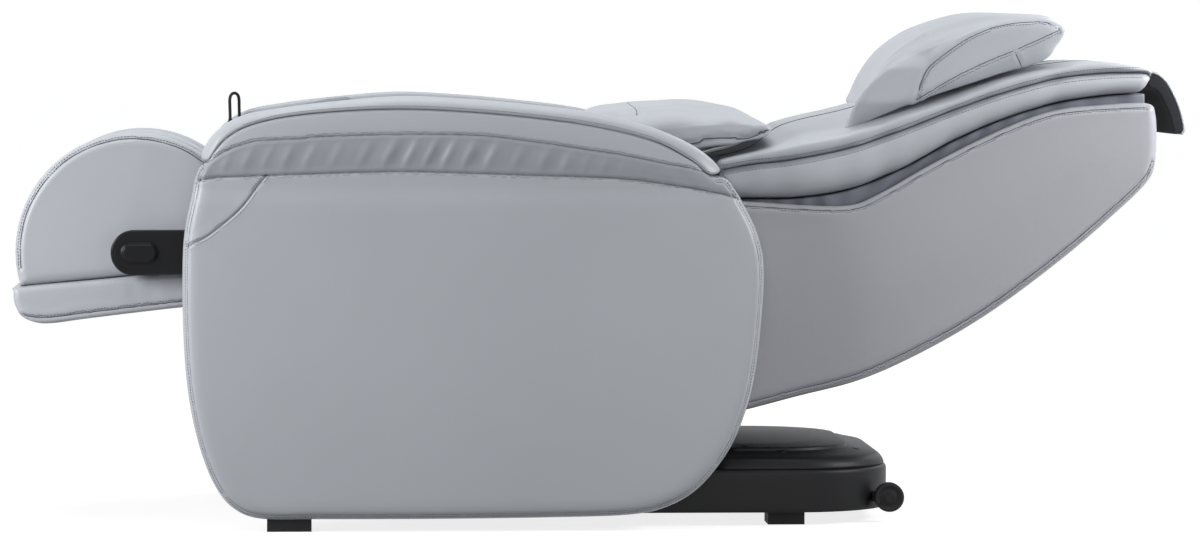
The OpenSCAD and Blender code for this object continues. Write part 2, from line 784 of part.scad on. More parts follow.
module bracket(side) {
    reach = lift_at[0] - flip_at[0];
    color(black_plastic) placed() on_side(side) difference() {
        union() {
            cross_bar(flip_at, bracket_r + 2, bracket_in, bracket_out, 64);
            cross_bar(lift_at, bracket_r, bracket_in, bracket_out, 64);
            side_plate_form([flip_at + [0, -bracket_r], lift_at + [0, -bracket_r],
                lift_at + [0, bracket_r], flip_at + [0, bracket_r]], bracket_in, bracket_out);
        }
        cross_bar(flip_at, flip_pin_r + run_fit, bracket_in - 1, bracket_out + 1);
        cross_bar(lift_at, lift_shaft_r, bracket_in - 1, bracket_out + 1);
    }
}

module pivot_caps() {
    cap_half = 14;
    cap_reach = 13;
    rim = 2;
    cap_at = flip_at + [9, 0];
    color(black_plastic) placed()
        for (side = [-1, 1])
            on_side(side)
                for (s = [[cap_half, cap_h], [cap_half + rim, cap_h / 2]]) {
                    for (e = [-1, 1])
                        cross_bar(cap_at + [e * cap_reach, 0], s[0], bracket_out, bracket_out + s[1]);
                    box([cap_at[0] - cap_reach, bracket_out, cap_at[1] - s[0]],
                        [cap_at[0] + cap_reach, bracket_out + s[1], cap_at[1] + s[0]]);
                }
}

module lift_shaft() {
    color(steel) placed() {
        cross_bar(lift_at, lift_shaft_r, -bracket_out, arm_in + board_t + gearbox_l - 2);
    }
}

module lift_gearmotor() {
    y0 = arm_in + board_t;
    color(motor_grey) placed() difference() {
        union() {
            cross_bar(lift_at, 30, y0 + 0.5, y0 + gearbox_l);
            translate([lift_at[0] + 20, y0 + gearbox_l / 2, lift_at[1]])
                rotate([0, 90, 0])
                    cylinder(h = 100, r = 17);
        }
        cross_bar(lift_at, lift_shaft_r + run_fit, y0 - 1, y0 + gearbox_l + 1);
    }
}

module at_ottoman() {
    translate([flip_at[0], 0, flip_at[1]])
        rotate([0, ottoman_tilt * -1, 0])
            children();
}

calf_foot = -35;
well_floor = 60;

function half_disc(r) = let (a0 = asin(calf_foot / r))
    concat([for (i = [0 : 40]) let (a = a0 + (180 - 2 * a0) * i / 40) r * [cos(a), sin(a)]]);

module ottoman_core() {
    half = ottoman_half - calf_wall_w;
    core_r = calf_r - 10;
    color(leather) placed() at_ottoman()
        for (side = [-1, 1])
            on_side(side)
                intersection() {
                    side_plate_form(half_disc(core_r), calf_mid_w / 2, half);
                    box([-core_r, 0, calf_foot], [core_r, half, well_floor]);
                }
}

module calf_wall(y0, y1) {
    h = (y1 - y0) / 2;
    color(leather) placed() at_ottoman() translate([0, (y0 + y1) / 2, 0])
        loft_side(half_disc(calf_r), [[-h, 10], [-h + 5, 6], [-h + 14, 1.5], [-h + 26, 0],
            [h - 26, 0], [h - 14, 1.5], [h - 5, 6], [h, 10]]);
}

module foot_slab() {
    outline = [[-178, -36], [-60, -36], [60, -36], [145, -36], [155, -45], [157, -64], [153, -84],
        [141, -90], [40, -91], [-80, -94], [-136, -96], [-162, -91], [-181, -77], [-188, -59],
        [-187, -43]];
    h = ottoman_half;
    color(leather) placed() at_ottoman()
        loft_side(smooth(outline), [[-h, 7], [-h + 4, 3], [-h + 12, 0], [h - 12, 0], [h - 4, 3], [h, 7]]);
}

module ottoman_pins() {
    color(steel) placed()
        for (side = [-1, 1])
            on_side(side) {
                cross_bar(flip_at, flip_pin_r, ottoman_half, bracket_out - 0.5);
                cross_bar(flip_at, 26, ottoman_half, bracket_in - 1);
            }
}

// ---------------------------------------------------------------- handset

cradle_x = [-558, -378];
cradle_back_t = 4;
handset_y = arm_in - cradle_back_t - 1;
handset_low = 548;
handset_at = [-538, handset_low];

module handset_cradle() {
    top_edge = [[-558, 535], [-558, 606], [-552, 613], [-533, 619], [-511, 624], [-463, 634],
        [-416, 644], [-382, 648], [-378, 644], [-378, 535]];
    lip = handset_y - handset_t - 2;
    color(leather_dark) placed() {
        side_plate_form(top_edge, arm_in - cradle_back_t, arm_in);
        box([handset_at[0] - 4, lip - 3, handset_low - 8],
            [handset_at[0] + handset_l + 4, arm_in - cradle_back_t, handset_low - 1]);
        box([handset_at[0] - 4, lip - 3, handset_low - 8],
            [handset_at[0] + handset_l + 4, lip, handset_low + 9]);
        box([handset_at[0] + handset_l + 1, lip - 3, handset_low - 8],
            [handset_at[0] + handset_l + 4, arm_in - cradle_back_t, handset_low + 30]);
    }
}

button_x = [18, 48, 76, 104, 134];
button_depth = 4;

module handset() {
    color(black_plastic) placed() difference() {
        translate([handset_at[0], handset_y, handset_at[1] + handset_h / 2])
            rotate([90, 0, 0])
                linear_extrude(height = handset_t)
                    polygon(rrect(0, handset_l, handset_h / 2, 14, 14));
        for (x = button_x)
            cross_bar(handset_at + [x, handset_h / 2], button_r + 0.3,
                handset_y - handset_t - 1, handset_y - handset_t + button_depth);
    }
}

module handset_button(i) {
    face = handset_y - handset_t;
    color(i == 0 ? "firebrick" : "lightgray") placed()
        cross_bar(handset_at + [button_x[i], handset_h / 2], button_r,
            face - 1.8, face + button_depth - button_travel - 0.4);
}

module button_power() handset_button(0);
module button_up() handset_button(1);
module button_down() handset_button(2);
module button_program() handset_button(3);
module button_heat() handset_button(4);

// ---------------------------------------------------------------- handset cord

cord_y = handset_y - handset_t / 2;
relief_top = 612;
relief_l = 28;
relief_x = -570;
leg_gap = 15;
cord_turn_y = cord_y - leg_gap;
cord_route = [for (q = [[relief_x, 0, relief_top], [-570.2, 0, 622], [-570.5, 0, 633],
    [-570.6, 0, 643], [-568.5, 2.2, 650.4], [-563.3, 7.5, 653.4], [-558.1, 12.8, 650.4],
    [-556, leg_gap, 643], [-555.8, leg_gap, 632], [-555.5, leg_gap, 620], [-555.2, leg_gap, 609],
    [-554.9, leg_gap, 599], [-554.8, leg_gap, 589], [-553.9, leg_gap, 584.4],
    [-551.3, leg_gap, 580.5], [-547.4, leg_gap, 577.9], [-542.8, leg_gap, 577],
    [-538.2, leg_gap, 577]]) q + [0, cord_turn_y, 0]];

module cord_relief() {
    color(rubber) placed() {
        translate([relief_x, cord_turn_y, relief_top - relief_l])
            cylinder(h = relief_l, r1 = cord_d, r2 = cord_d * 0.62);
        box([relief_x - 6, cord_turn_y - 6, relief_top - relief_l - 12],
            [relief_x + 6, arm_in - cradle_back_t, relief_top - relief_l]);
        box([relief_x - 6, arm_in - cradle_back_t - 4, relief_top - relief_l - 12],
            [cradle_x[0] + 10, arm_in - cradle_back_t, relief_top - relief_l]);
    }
}

module handset_cord() {
    color(rubber) placed()
        cord_tube(cord_route, cord_d);
}

chassis_frame();
side_plate(-1);  // left_side_plate
side_plate(1);  // right_side_plate
seat_pan();
seat_cushion();
arm_board(-1);  // left_arm_board
arm_board(1);  // right_arm_board
arm_panel(-1);  // left_arm_panel
arm_panel(1);  // right_arm_panel
armrest_pad(-1);  // left_armrest_pad
armrest_pad(1);  // right_armrest_pad
arm_bolts();
front_feet();
rear_feet();
base_skirt();
base_cover();
power_unit();
mains_inlet();
mains_rocker();
wheel_brackets();
wheel(-1);  // left_wheel
wheel(1);  // right_wheel
back_hinge_pins();
back_frame();
back_shell();
back_pad();
back_flap();
head_pillow();
lumbar_cushion();
massage_rails();
massage_carriage();
carriage_motor();
kneading_shaft();
kneading_rollers();
recline_tube();
recline_motor();
recline_rod();
bracket(-1);  // left_bracket
bracket(1);  // right_bracket
pivot_caps();
lift_shaft();
lift_gearmotor();
ottoman_core();
calf_wall(-ottoman_half, -ottoman_half + calf_wall_w);  // left_calf_wall
calf_wall(-calf_mid_w / 2, calf_mid_w / 2);  // middle_calf_wall
calf_wall(ottoman_half - calf_wall_w, ottoman_half);  // right_calf_wall
foot_slab();
ottoman_pins();
handset_cradle();
handset();
button_power();
button_up();
button_down();
button_program();
button_heat();
cord_relief();
handset_cord();
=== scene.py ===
"""Looks of a reclined massage chair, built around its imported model.

Shapes are drawn in millimetres in the side-view datum of the solids (x from foot to head, z up),
with y across the chair, and are moved by PLAN_SHIFT when a mesh is made.
"""
import json
import math

import bpy
import numpy as np
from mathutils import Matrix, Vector, geometry
from mathutils.bvhtree import BVHTree
from mathutils.kdtree import KDTree


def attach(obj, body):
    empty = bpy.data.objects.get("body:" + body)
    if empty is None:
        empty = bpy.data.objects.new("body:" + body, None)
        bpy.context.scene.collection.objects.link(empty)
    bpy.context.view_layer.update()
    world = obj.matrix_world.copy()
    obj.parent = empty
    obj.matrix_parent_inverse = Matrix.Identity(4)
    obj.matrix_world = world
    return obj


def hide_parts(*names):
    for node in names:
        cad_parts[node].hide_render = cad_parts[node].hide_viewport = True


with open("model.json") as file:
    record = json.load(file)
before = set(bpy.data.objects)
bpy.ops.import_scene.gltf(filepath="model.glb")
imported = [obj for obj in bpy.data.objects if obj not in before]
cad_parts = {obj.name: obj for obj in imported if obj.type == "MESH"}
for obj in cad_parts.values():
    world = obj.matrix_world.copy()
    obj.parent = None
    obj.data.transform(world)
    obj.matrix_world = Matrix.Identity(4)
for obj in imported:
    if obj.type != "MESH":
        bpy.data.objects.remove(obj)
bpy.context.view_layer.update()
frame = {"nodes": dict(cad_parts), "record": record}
NODE_SLOT = {s["node"]: s["material_slot"] for s in frame["record"]["subparts"]}
bpy.context.scene.view_settings.view_transform = "Standard"

MM = 0.001
PLAN_SHIFT = -10.83
SHIFT = np.array([PLAN_SHIFT, 0, 0])

# ------------------------------------------------------------------ driving sizes, as the solids

ARM_OUT = 375.0
ARM_IN = 282.0
SHELL_HALF = 270.0
PAD_HALF = 268.0
OTTOMAN_HALF = 247.0
BRACKET_OUT = 274.0
BRACKET_IN = 262.0
BRACKET_R = 32.5
CALF_R = 181.0
CALF_FOOT = -35.0
CALF_WALL = 85.0
CALF_MID = 45.0
WELL_FLOOR = 60.0
OTTOMAN_TILT = 5.4
FLIP_AT = (-708.0, 417.0)
LIFT_AT = (-488.0, 420.0)
WHEEL_AT = (447.0, 39.0)
WHEEL_Y = 228.0
WHEEL_R = 22.5
PILLOW_HALF = 240.0
LUMBAR_HALF = 245.0
SEAT_HALF = 276.0
BASE_HALF = 279.0
BASE_REAR = 452.0
BASE_CORNER = 150.0
BASE_FRONT = -325.0
BASE_WALL = 4.0
COVER_FRONT = 165.0
SKIRT_TOP = 86.0
DECK_HALF = 248.0
CORD_D = 5.0
CAP_HALF = 13.0
CRADLE_BAR = (-542, -379)
CRADLE_LEDGE = 540

# openings cut in the lower base cover (the mains inlet): lowest and highest corner
BASE_OPENINGS = (((432, -30, 34), (460, 30, 70)),)
# screws of the upper base cover: x and half spacing across, and the head's [radius, height]
SCREW_PLACES = ((226, 208), (280, 232), (404, 150))
SCREW_PROFILE = ((6.6, -1.0), (6.6, 0.3), (5.9, 0.6), (5.0, 0.3), (4.7, -0.2), (3.9, -0.2),
                 (3.6, 0.5), (1.2, 0.7))
BRACKET_RIM = 3.0

# ------------------------------------------------------------------ camera, floor and light

LENS = 158.17
CAMERA_X = -432.03
CAMERA_Y = -8.2706
CAMERA_Z = 0.7449
CAMERA_TILT = (math.pi / 2 - 0.0445, -0.0015, -0.0538)
FLOOR_TONE = 0.33
FLOOR_GLOW_NEAR = 0.81
FLOOR_GLOW_FAR = 0.96
WORLD_TINT = (0.95, 0.975, 1.0)
WORLD_LIGHT = 0.115
WORLD_SEEN = 1.07
# soft boxes: place, aim, size, power and tint
LAMPS = {
    "top_box": ((-0.3, 0.1, 3.0), (0, 0, 0.4), (3.4, 2.2), 57, (0.96, 0.99, 1.0)),
    "foot_box": ((-2.3, -1.4, 1.1), (-0.7, -0.2, 0.4), (1.0, 1.0), 50, (1, 1, 1)),
    "head_box": ((1.6, -0.62, 1.0), (0.9, -0.25, 0.5), (0.5, 0.5), 19, (1, 1, 1)),
    "floor_strip": ((0.5, -1.7, 0.4), (0.27, -0.28, 0.06), (0.14, 0.7), 2.2, (1, 1, 1)),
    "rear_box": ((2.2, 2.6, 2.2), (0.3, 0, 0.5), (1.6, 1.6), 16, (1, 1, 1)),
}

# ------------------------------------------------------------------ outlines, as the solids

ARM_CREST = [(-604, 566), (-584, 600), (-544, 625), (-484, 637), (-404, 647), (-304, 655),
             (-204, 651), (-94, 641), (-4, 629), (76, 608), (141, 578), (176, 546)]
ARM_SEAM = [(-592, 560), (-571, 588), (-539, 609), (-484, 624), (-404, 633), (-304, 637),
            (-204, 633), (-94, 623), (-4, 610), (76, 589), (130, 561), (158, 538)]
ARM_BACK = [(186, 530), (208, 498), (231, 452), (242, 400), (239, 320), (228, 230), (210, 165),
            (186, 115), (146, 66), (101, 38), (46, 25), (-64, 21)]
ARM_FOOT = [(-254, 19), (-424, 19), (-514, 20)]
ARM_FRONT = [(-556, 36), (-584, 70), (-606, 125), (-621, 190), (-629, 260), (-632, 350),
             (-630, 440), (-619, 500), (-608, 544)]
STRIP_UPPER = [(-602, 550), (-581, 565), (-559, 577), (-536, 584.5), (-514, 589), (-454, 592),
               (-424, 595), (-296, 598.5), (-184, 596.5), (-94, 586), (-34, 577), (26, 568),
               (86, 556), (146, 544), (188, 526)]
STRIP_LOWER = [(-612, 528), (-581, 533.5), (-544, 535), (-504, 536.5), (-424, 539.5),
               (-304, 542.5), (-184, 539.5), (-94, 536.5), (-4, 533.5), (56, 529), (116, 520),
               (161, 512.5), (204, 503)]
INSERT_EDGE = [(-506, 536.5), (-521, 518.5), (-536, 497.5), (-551, 481), (-574, 461.5),
               (-596, 445), (-626, 430)]

SHELL_TOP = [(150, 440), (150, 482), (161, 494), (221, 494), (300, 489), (381, 488), (430, 507),
             (504, 549), (580, 588), (648, 618), (700, 634), (763, 641), (836, 644)]
SHELL_UNDER = [(851, 625), (851, 560), (838, 524), (778, 466), (700, 400), (600, 326), (504, 269),
               (403, 223), (300, 196), (210, 173), (163, 167), (150, 178), (150, 220)]
PAD_LOW = [(200, 499), (245, 499), (300, 500), (380, 512), (460, 543), (540, 586), (620, 621),
           (700, 645), (770, 656), (836, 661)]
PAD_SEAM = [(176, 540), (235, 550), (290, 556), (380, 574), (460, 601), (540, 632), (620, 660),
            (700, 681), (770, 689), (842, 692)]
PAD_RIM = [(172, 555), (232, 569), (290, 581), (380, 599), (460, 624), (540, 651), (620, 680),
           (700, 699), (770, 708), (850, 695)]
PAD_CROWN = [(174, 556), (240, 574), (290, 611), (380, 634), (460, 655), (540, 675), (620, 693),
             (700, 704), (770, 709), (850, 696)]
PILLOW_MID = [(413, 640), (419, 657), (430, 681), (448, 709), (471, 732), (510, 757), (552, 774),
              (598, 783), (668, 782), (704, 776), (720, 758), (708, 732), (676, 709),
              (570, 691), (500, 668), (438, 642)]
PILLOW_END = [(377, 601), (383, 624), (394, 650), (420, 682), (462, 711), (520, 738), (574, 757),
              (624, 769), (662, 773), (691, 771), (712, 757), (701, 733), (683, 709), (610, 685),
              (510, 653), (430, 622)]
PILLOW_FAR_END = [(452, 646), (458, 664), (470, 688), (486, 712), (512, 738), (548, 758), (588, 768),
                  (630, 773), (662, 774), (691, 771), (712, 757), (701, 733), (683, 709),
                  (630, 690), (560, 670), (484, 650)]
LUMBAR_MID = [(-25, 580), (-18, 612), (0, 632), (51, 640), (96, 645), (143, 647), (191, 640),
              (223, 633), (245, 619), (258, 605), (250, 597), (225, 587), (172, 570), (100, 556),
              (40, 545), (-10, 545)]
LUMBAR_END = [(-14, 575), (-4, 588), (10, 596), (51, 602), (96, 608), (143, 612), (184, 614),
              (218, 614), (246, 610), (260, 603), (250, 594), (226, 586), (176, 577), (100, 567),
              (40, 560), (0, 564)]
LUMBAR_SEAM = [(60, 574), (110, 578), (146, 582), (160, 588), (185, 591), (221, 591), (247, 599),
               (258, 602)]
FLAP_OUTER = [(851, 690), (868, 692), (887, 677), (901, 652), (910, 628), (915, 603), (911, 594)]
FLAP_INNER = [(898, 595), (892, 620), (883, 642), (872, 661), (858, 668)]
FOOT_SLAB = [(-178, -36), (-60, -36), (60, -36), (145, -36), (155, -45), (157, -64), (153, -84),
             (141, -90), (40, -91), (-80, -94), (-136, -96), (-162, -91), (-181, -77),
             (-188, -59), (-187, -43)]
SEAT_SIDE = [(-458, 452), (-450, 470), (-418, 482), (-330, 482), (-220, 480), (-110, 477),
             (-40, 475), (-22, 462), (-22, 445), (-34, 432), (-110, 432), (-220, 432),
             (-330, 432), (-424, 432), (-450, 435)]
CRADLE = [(-558, 535), (-558, 606), (-552, 613), (-533, 619), (-511, 624), (-463, 634),
          (-416, 644), (-382, 648), (-378, 644), (-378, 535)]
CORD_ROUTE = [(-570, 254.5, 612), (-570.2, 254.5, 622), (-570.5, 254.5, 633),
              (-570.6, 254.5, 643), (-568.5, 256.7, 650.4), (-563.3, 262, 653.4),
              (-558.1, 267.3, 650.4), (-556, 269.5, 643), (-555.8, 269.5, 632),
              (-555.5, 269.5, 620), (-555.2, 269.5, 609), (-554.9, 269.5, 599),
              (-554.8, 269.5, 589), (-553.9, 269.5, 584.4), (-551.3, 269.5, 580.5),
              (-547.4, 269.5, 577.9), (-542.8, 269.5, 577), (-538.2, 269.5, 577)]


# ------------------------------------------------------------------ lines and outlines

def smooth_line(points, steps=8, closed=False):
    """Catmull-Rom curve through its points, with that many steps to each stretch."""
    p = np.asarray(points, float)
    n = len(p)
    if closed:
        before = p[np.arange(-1, n - 1)]
        after = p[(np.arange(n) + 1) % n]
        later = p[(np.arange(n) + 2) % n]
        here = p
    else:
        e = np.vstack([2 * p[0] - p[1], p, 2 * p[-1] - p[-2]])
        before, here, after, later = e[:-3], e[1:-2], e[2:-1], e[3:]
    rows = []
    for k in range(steps):
        t = k / steps
        rows.append(0.5 * (2 * here + (after - before) * t
                           + (2 * before - 5 * here + 4 * after - later) * t * t
                           + (3 * here - before - 3 * after + later) * t ** 3))
    out = np.stack(rows, 1).reshape(-1, p.shape[1])
    return out if closed else np.vstack([out, p[-1]])


def even(points, spacing, closed=False):
    """The same line with evenly spaced points."""
    p = np.asarray(points, float)
    if closed:
        p = np.vstack([p, p[0]])
    s = np.concatenate([[0], np.cumsum(np.linalg.norm(np.diff(p, axis=0), axis=1))])
    n = max(3, int(round(s[-1] / spacing)))
    t = np.linspace(0, s[-1], n + 1)
    out = np.stack([np.interp(t, s, p[:, k]) for k in range(p.shape[1])], 1)
    return out[:-1] if closed else out


def unit(v):
    """The rows of v made one long."""
    return v / np.maximum(np.linalg.norm(v, axis=1), 1e-9)[:, None]


def ccw(p):
    """The closed outline in counter-clockwise order."""
    x, z = p[:, 0], p[:, 1]
    area = np.sum(x * np.roll(z, -1) - np.roll(x, -1) * z)
    return p[::-1] if area < 0 else p


def outline(points, spacing, steps=10):
    """Smooth closed outline with even points, counter-clockwise."""
    return ccw(even(smooth_line(points, steps, closed=True), spacing, closed=True))


def inset(p, d):
    """The closed outline drawn in by d along its own normals."""
    s = unit(np.roll(p, -1, axis=0) - np.roll(p, 1, axis=0))
    d = np.broadcast_to(np.asarray(d, float), len(p))
    return p + d[:, None] * np.stack([-s[:, 1], s[:, 0]], 1)


def point_tree(points):
    """Search tree of points in two or three dimensions."""
    tree = KDTree(len(points))
    flat = points.shape[1] == 2
    for k, p in enumerate(points.tolist()):
        tree.insert((p[0], p[1], 0) if flat else p, k)
    tree.balance()
    return tree


def line_distance(points, line, closed=False):
    """Distance of each point from a line, in two or three dimensions."""
    a = np.asarray(line, float)
    points = np.asarray(points, float)
    if a.shape[1] == 2:
        a = np.column_stack([a, np.zeros(len(a))])
        points = np.column_stack([points[:, :2], np.zeros(len(points))])
    b = np.roll(a, -1, axis=0) if closed else a[1:]
    a = a if closed else a[:-1]
    n = len(a)
    parts = np.maximum(1, np.ceil(np.linalg.norm(b - a, axis=1) / 3.0)).astype(int)
    owner = np.repeat(np.arange(n), parts)
    t = np.concatenate([(np.arange(k) + 0.5) / k for k in parts])[:, None]
    tree = point_tree(a[owner] * (1 - t) + b[owner] * t)
    near_one = owner[np.array([tree.find(p)[1] for p in points.tolist()])]
    best = np.full(len(points), 1e9)
    for step in (-1, 0, 1):
        k = (near_one + step) % n if closed else np.clip(near_one + step, 0, n - 1)
        ab = b[k] - a[k]
        t = ((points - a[k]) * ab).sum(1) / np.maximum((ab * ab).sum(1), 1e-9)
        q = a[k] + np.clip(t, 0, 1)[:, None] * ab
        best = np.minimum(best, np.linalg.norm(points - q, axis=1))
    return best


def inside(points, ring):
    """Which points lie inside the closed ring."""
    x, z = points[:, 0][:, None], points[:, 1][:, None]
    ax, az = ring[:, 0], ring[:, 1]
    bx, bz = np.roll(ax, -1), np.roll(az, -1)
    crosses = (az > z) != (bz > z)
    at = ax + (z - az) / np.where(bz == az, 1e-9, bz - az) * (bx - ax)
    return (crosses & (x < at)).sum(1) % 2 == 1


# ------------------------------------------------------------------ surfaces

class Skin:
    """A closed surface in the making: points in mm, faces, and work on them."""

    def __init__(self, points, faces):
        self.points = np.asarray(points, float)
        self.faces = [tuple(int(i) for i in f) for f in faces]
        self._tris = np.array([(f[0], f[k], f[k + 1]) for f in self.faces
                               for k in range(1, len(f) - 1)])

    def shape(self):
        return self.points, self.faces

    def normals(self):
        p = self.points
        t = self._tris
        n = np.cross(p[t[:, 1]] - p[t[:, 0]], p[t[:, 2]] - p[t[:, 0]])
        out = np.zeros_like(p)
        for k in range(3):
            np.add.at(out, t[:, k], n)
        return unit(out)

    def tree(self):
        return BVHTree.FromPolygons(self.points.tolist(), self.faces)

    def push(self, amount):
        self.points = self.points + self.normals() * np.asarray(amount)[:, None]

    def lay(self, line, direction, spacing=4.0, reach=900.0):
        """A side-view line laid on the surface from outside: (points, normals)."""
        tree = self.tree()
        d = Vector(direction).normalized()
        flat = even(smooth_line(line, 6), spacing)
        hits = []
        for x, z in flat:
            start = Vector((x, 0, z)) - d * reach
            at, n, _, _ = tree.ray_cast(start, d)
            if at is not None:
                hits.append((*at, *n))
        h = np.array(hits)
        return h[:, :3], h[:, 3:]

    def lay_near(self, line):
        """A line in space drawn to the nearest place on the surface: (points, normals)."""
        tree = self.tree()
        hits = [tree.find_nearest(Vector(p)) for p in line]
        return (np.array([h[0] for h in hits]), np.array([h[1] for h in hits]))

    def crease(self, line, width, depth, puff=0.0):
        """Draws the surface in along a line, with a soft swell on both sides of it."""
        r = line_distance(self.points, line)
        amount = -depth * np.exp(-(r / width) ** 2)
        amount += puff * np.exp(-((r - 2.6 * width) / (1.6 * width)) ** 2)
        self.push(amount)


# how far a seam's shadow thread sinks into the skin, and its radius
SOFT_SEAM = (0.15, 0.7)
OTTOMAN_SEAM = (0.15, 0.75)
PILLOW_THREAD = (0.1, 0.7)
# where net points lie on both sides of a seam
SEAM_OFFSETS = (-6.0, -3.2, -1.4, 0.0, 1.4, 3.2, 6.0)


def seam_rows(lines, step=4.5):
    """Rows of net points on both sides of each line, so that a crease has points to bend."""
    rows = []
    for line in lines:
        p = even(line, step)
        t = unit(np.gradient(p, axis=0))
        n = np.stack([-t[:, 1], t[:, 0]], 1)
        rows += [p + n * d for d in SEAM_OFFSETS]
    return np.concatenate(rows)


def hex_grid(low, high, spacing):
    """Points of a triangular net between two corners."""
    rise = spacing * math.sqrt(3) / 2
    zs = np.arange(low[1], high[1], rise)
    xs = np.arange(low[0], high[0], spacing)
    gx, gz = np.meshgrid(xs, zs)
    gx = gx + (np.arange(len(zs)) % 2)[:, None] * spacing / 2
    return np.stack([gx.ravel(), gz.ravel()], 1)


def thinned(points, gap):
    """The points without those closer than gap to one that comes before them."""
    tree = point_tree(points)
    dropped = set()
    for k, p in enumerate(points.tolist()):
        if k in dropped:
            continue
        for _, other, _ in tree.find_range((p[0], p[1], 0), gap):
            if other > k:
                dropped.add(other)
    return points[[k for k in range(len(points)) if k not in dropped]]


def net_cap(rim, insets, spacing, extra=None):
    """Flat triangle net inside a closed ring, finer round its extra points."""
    rim = np.asarray(rim, float)
    rows = [rim]
    if extra is not None:
        rows.append(extra[inside(extra, rim) & (line_distance(extra, rim, closed=True) > 1.0)])
    for d in insets:
        ring = inset(rim, d)
        keep = line_distance(ring, rim, closed=True) > 0.9 * d
        rows.append(ring[keep & inside(ring, rim)])
    rows = [rim, thinned(np.concatenate(rows), 0.9)[len(rim):]]
    grid = hex_grid(rim.min(0), rim.max(0), spacing)
    grid = grid[inside(grid, rim)]
    last = max(insets) if len(insets) else 0
    grid = grid[line_distance(grid, rim, closed=True) > last + 0.6 * spacing]
    if extra is not None:
        tree = point_tree(extra)
        away = [tree.find((x, z, 0))[2] > 0.7 * spacing for x, z in grid.tolist()]
        grid = grid[np.array(away)]
    rows.append(grid)
    flat = np.concatenate(rows)
    n = len(rim)
    edges = [(i, (i + 1) % n) for i in range(n)]
    co, _, tris, origin, _, _ = geometry.delaunay_2d_cdt(
        [Vector(c) for c in flat], edges, [], 1, 1e-5)
    co = np.array([(c[0], c[1]) for c in co])
    place = {k: i for i, o in enumerate(origin) for k in o}
    first = [place[k] for k in range(n)]
    return co, [tuple(t) for t in tris], line_distance(co, rim, closed=True), first


def dome(radius, reach=None):
    """Height over the rim of an edge that rolls over with this radius."""
    reach = reach or radius

    def height(flat, d):
        t = 1 - np.clip(d / reach, 0, 1)
        return radius * np.sqrt(np.maximum(0, 1 - t * t))
    return height


def roll_insets(reach, count=6):
    """Insets of the rings that a rolled edge needs."""
    return [reach * (1 - math.cos(math.pi / 2 * k / count)) for k in range(1, count + 1)]


def ring_faces(rings, n, closed=False):
    """Faces between one closed ring of n points and the next, the rings in a row."""
    faces = []
    for k in range(rings - (0 if closed else 1)):
        a, b = k * n, (k + 1) % rings * n
        faces += [(a + i, b + i, b + (i + 1) % n, a + (i + 1) % n) for i in range(n)]
    return faces


def flipped(faces):
    return [f[::-1] for f in faces]


def capped_loft(sections, spacing, reach0, reach1, height0, height1, extra0=None, extra1=None):
    """Side outlines [y, ring] lofted across the chair, each end closed with a shaped net."""
    n = len(sections[0][1])
    points = [np.stack([r[:, 0], np.full(n, y), r[:, 1]], 1) for y, r in sections]
    faces = ring_faces(len(sections), n)
    total = n * len(sections)
    ends = ((0, reach0, height0, -1, extra0),
            (len(sections) - 1, reach1, height1, 1, extra1))
    for k, reach, height, side, extra in ends:
        y, ring = sections[k]
        insets = [d for d in roll_insets(reach) if d > 0.4]
        flat, tris, d, first = net_cap(ring, insets, spacing, extra)
        number = {}
        for i, f in enumerate(first):
            number[f] = k * n + i
        new = [i for i in range(len(flat)) if i not in number]
        for j, i in enumerate(new):
            number[i] = total + j
        h = height(flat, d)
        cap = np.stack([flat[:, 0], y + side * h, flat[:, 1]], 1)[new]
        points.append(cap)
        total += len(new)
        for t in tris:
            ids = [number[i] for i in t]
            a, b, c = flat[t[0]], flat[t[1]], flat[t[2]]
            turned = np.cross(b - a, c - a) > 0
            if (side < 0) != turned:
                ids = ids[::-1]
            faces.append(tuple(ids))
    return Skin(np.concatenate(points), faces)


def plate(ring, y0, y1, roll0, roll1, spacing=7.0, steps=10, height0=None, height1=None):
    """Solid of one side outline from y0 to y1 whose two faces roll over at their edges."""
    ys = np.linspace(y0 + roll0, y1 - roll1, steps)
    return capped_loft([(y, ring) for y in ys], spacing, roll0, roll1,
                       height0 or dome(roll0), height1 or dome(roll1))


def tube(line, radius, sides=8, normals=None):
    """Round tube along a line: (points, faces)."""
    p = np.asarray(line, float)
    t = unit(np.gradient(p, axis=0))
    ref = normals if normals is not None else np.tile([0.11, 0.97, 0.2], (len(p), 1))
    u = unit(np.cross(t, ref))
    v = np.cross(t, u)
    r = np.broadcast_to(np.asarray(radius, float), len(p))[:, None]
    rings = [p + r * (u * math.cos(a) + v * math.sin(a))
             for a in np.linspace(0, 2 * math.pi, sides, endpoint=False)]
    points = np.stack(rings, 1).reshape(-1, 3)
    faces = flipped(ring_faces(len(p), sides))
    faces.append(tuple(range(sides))[::-1])
    faces.append(tuple((len(p) - 1) * sides + i for i in range(sides)))
    return points, faces


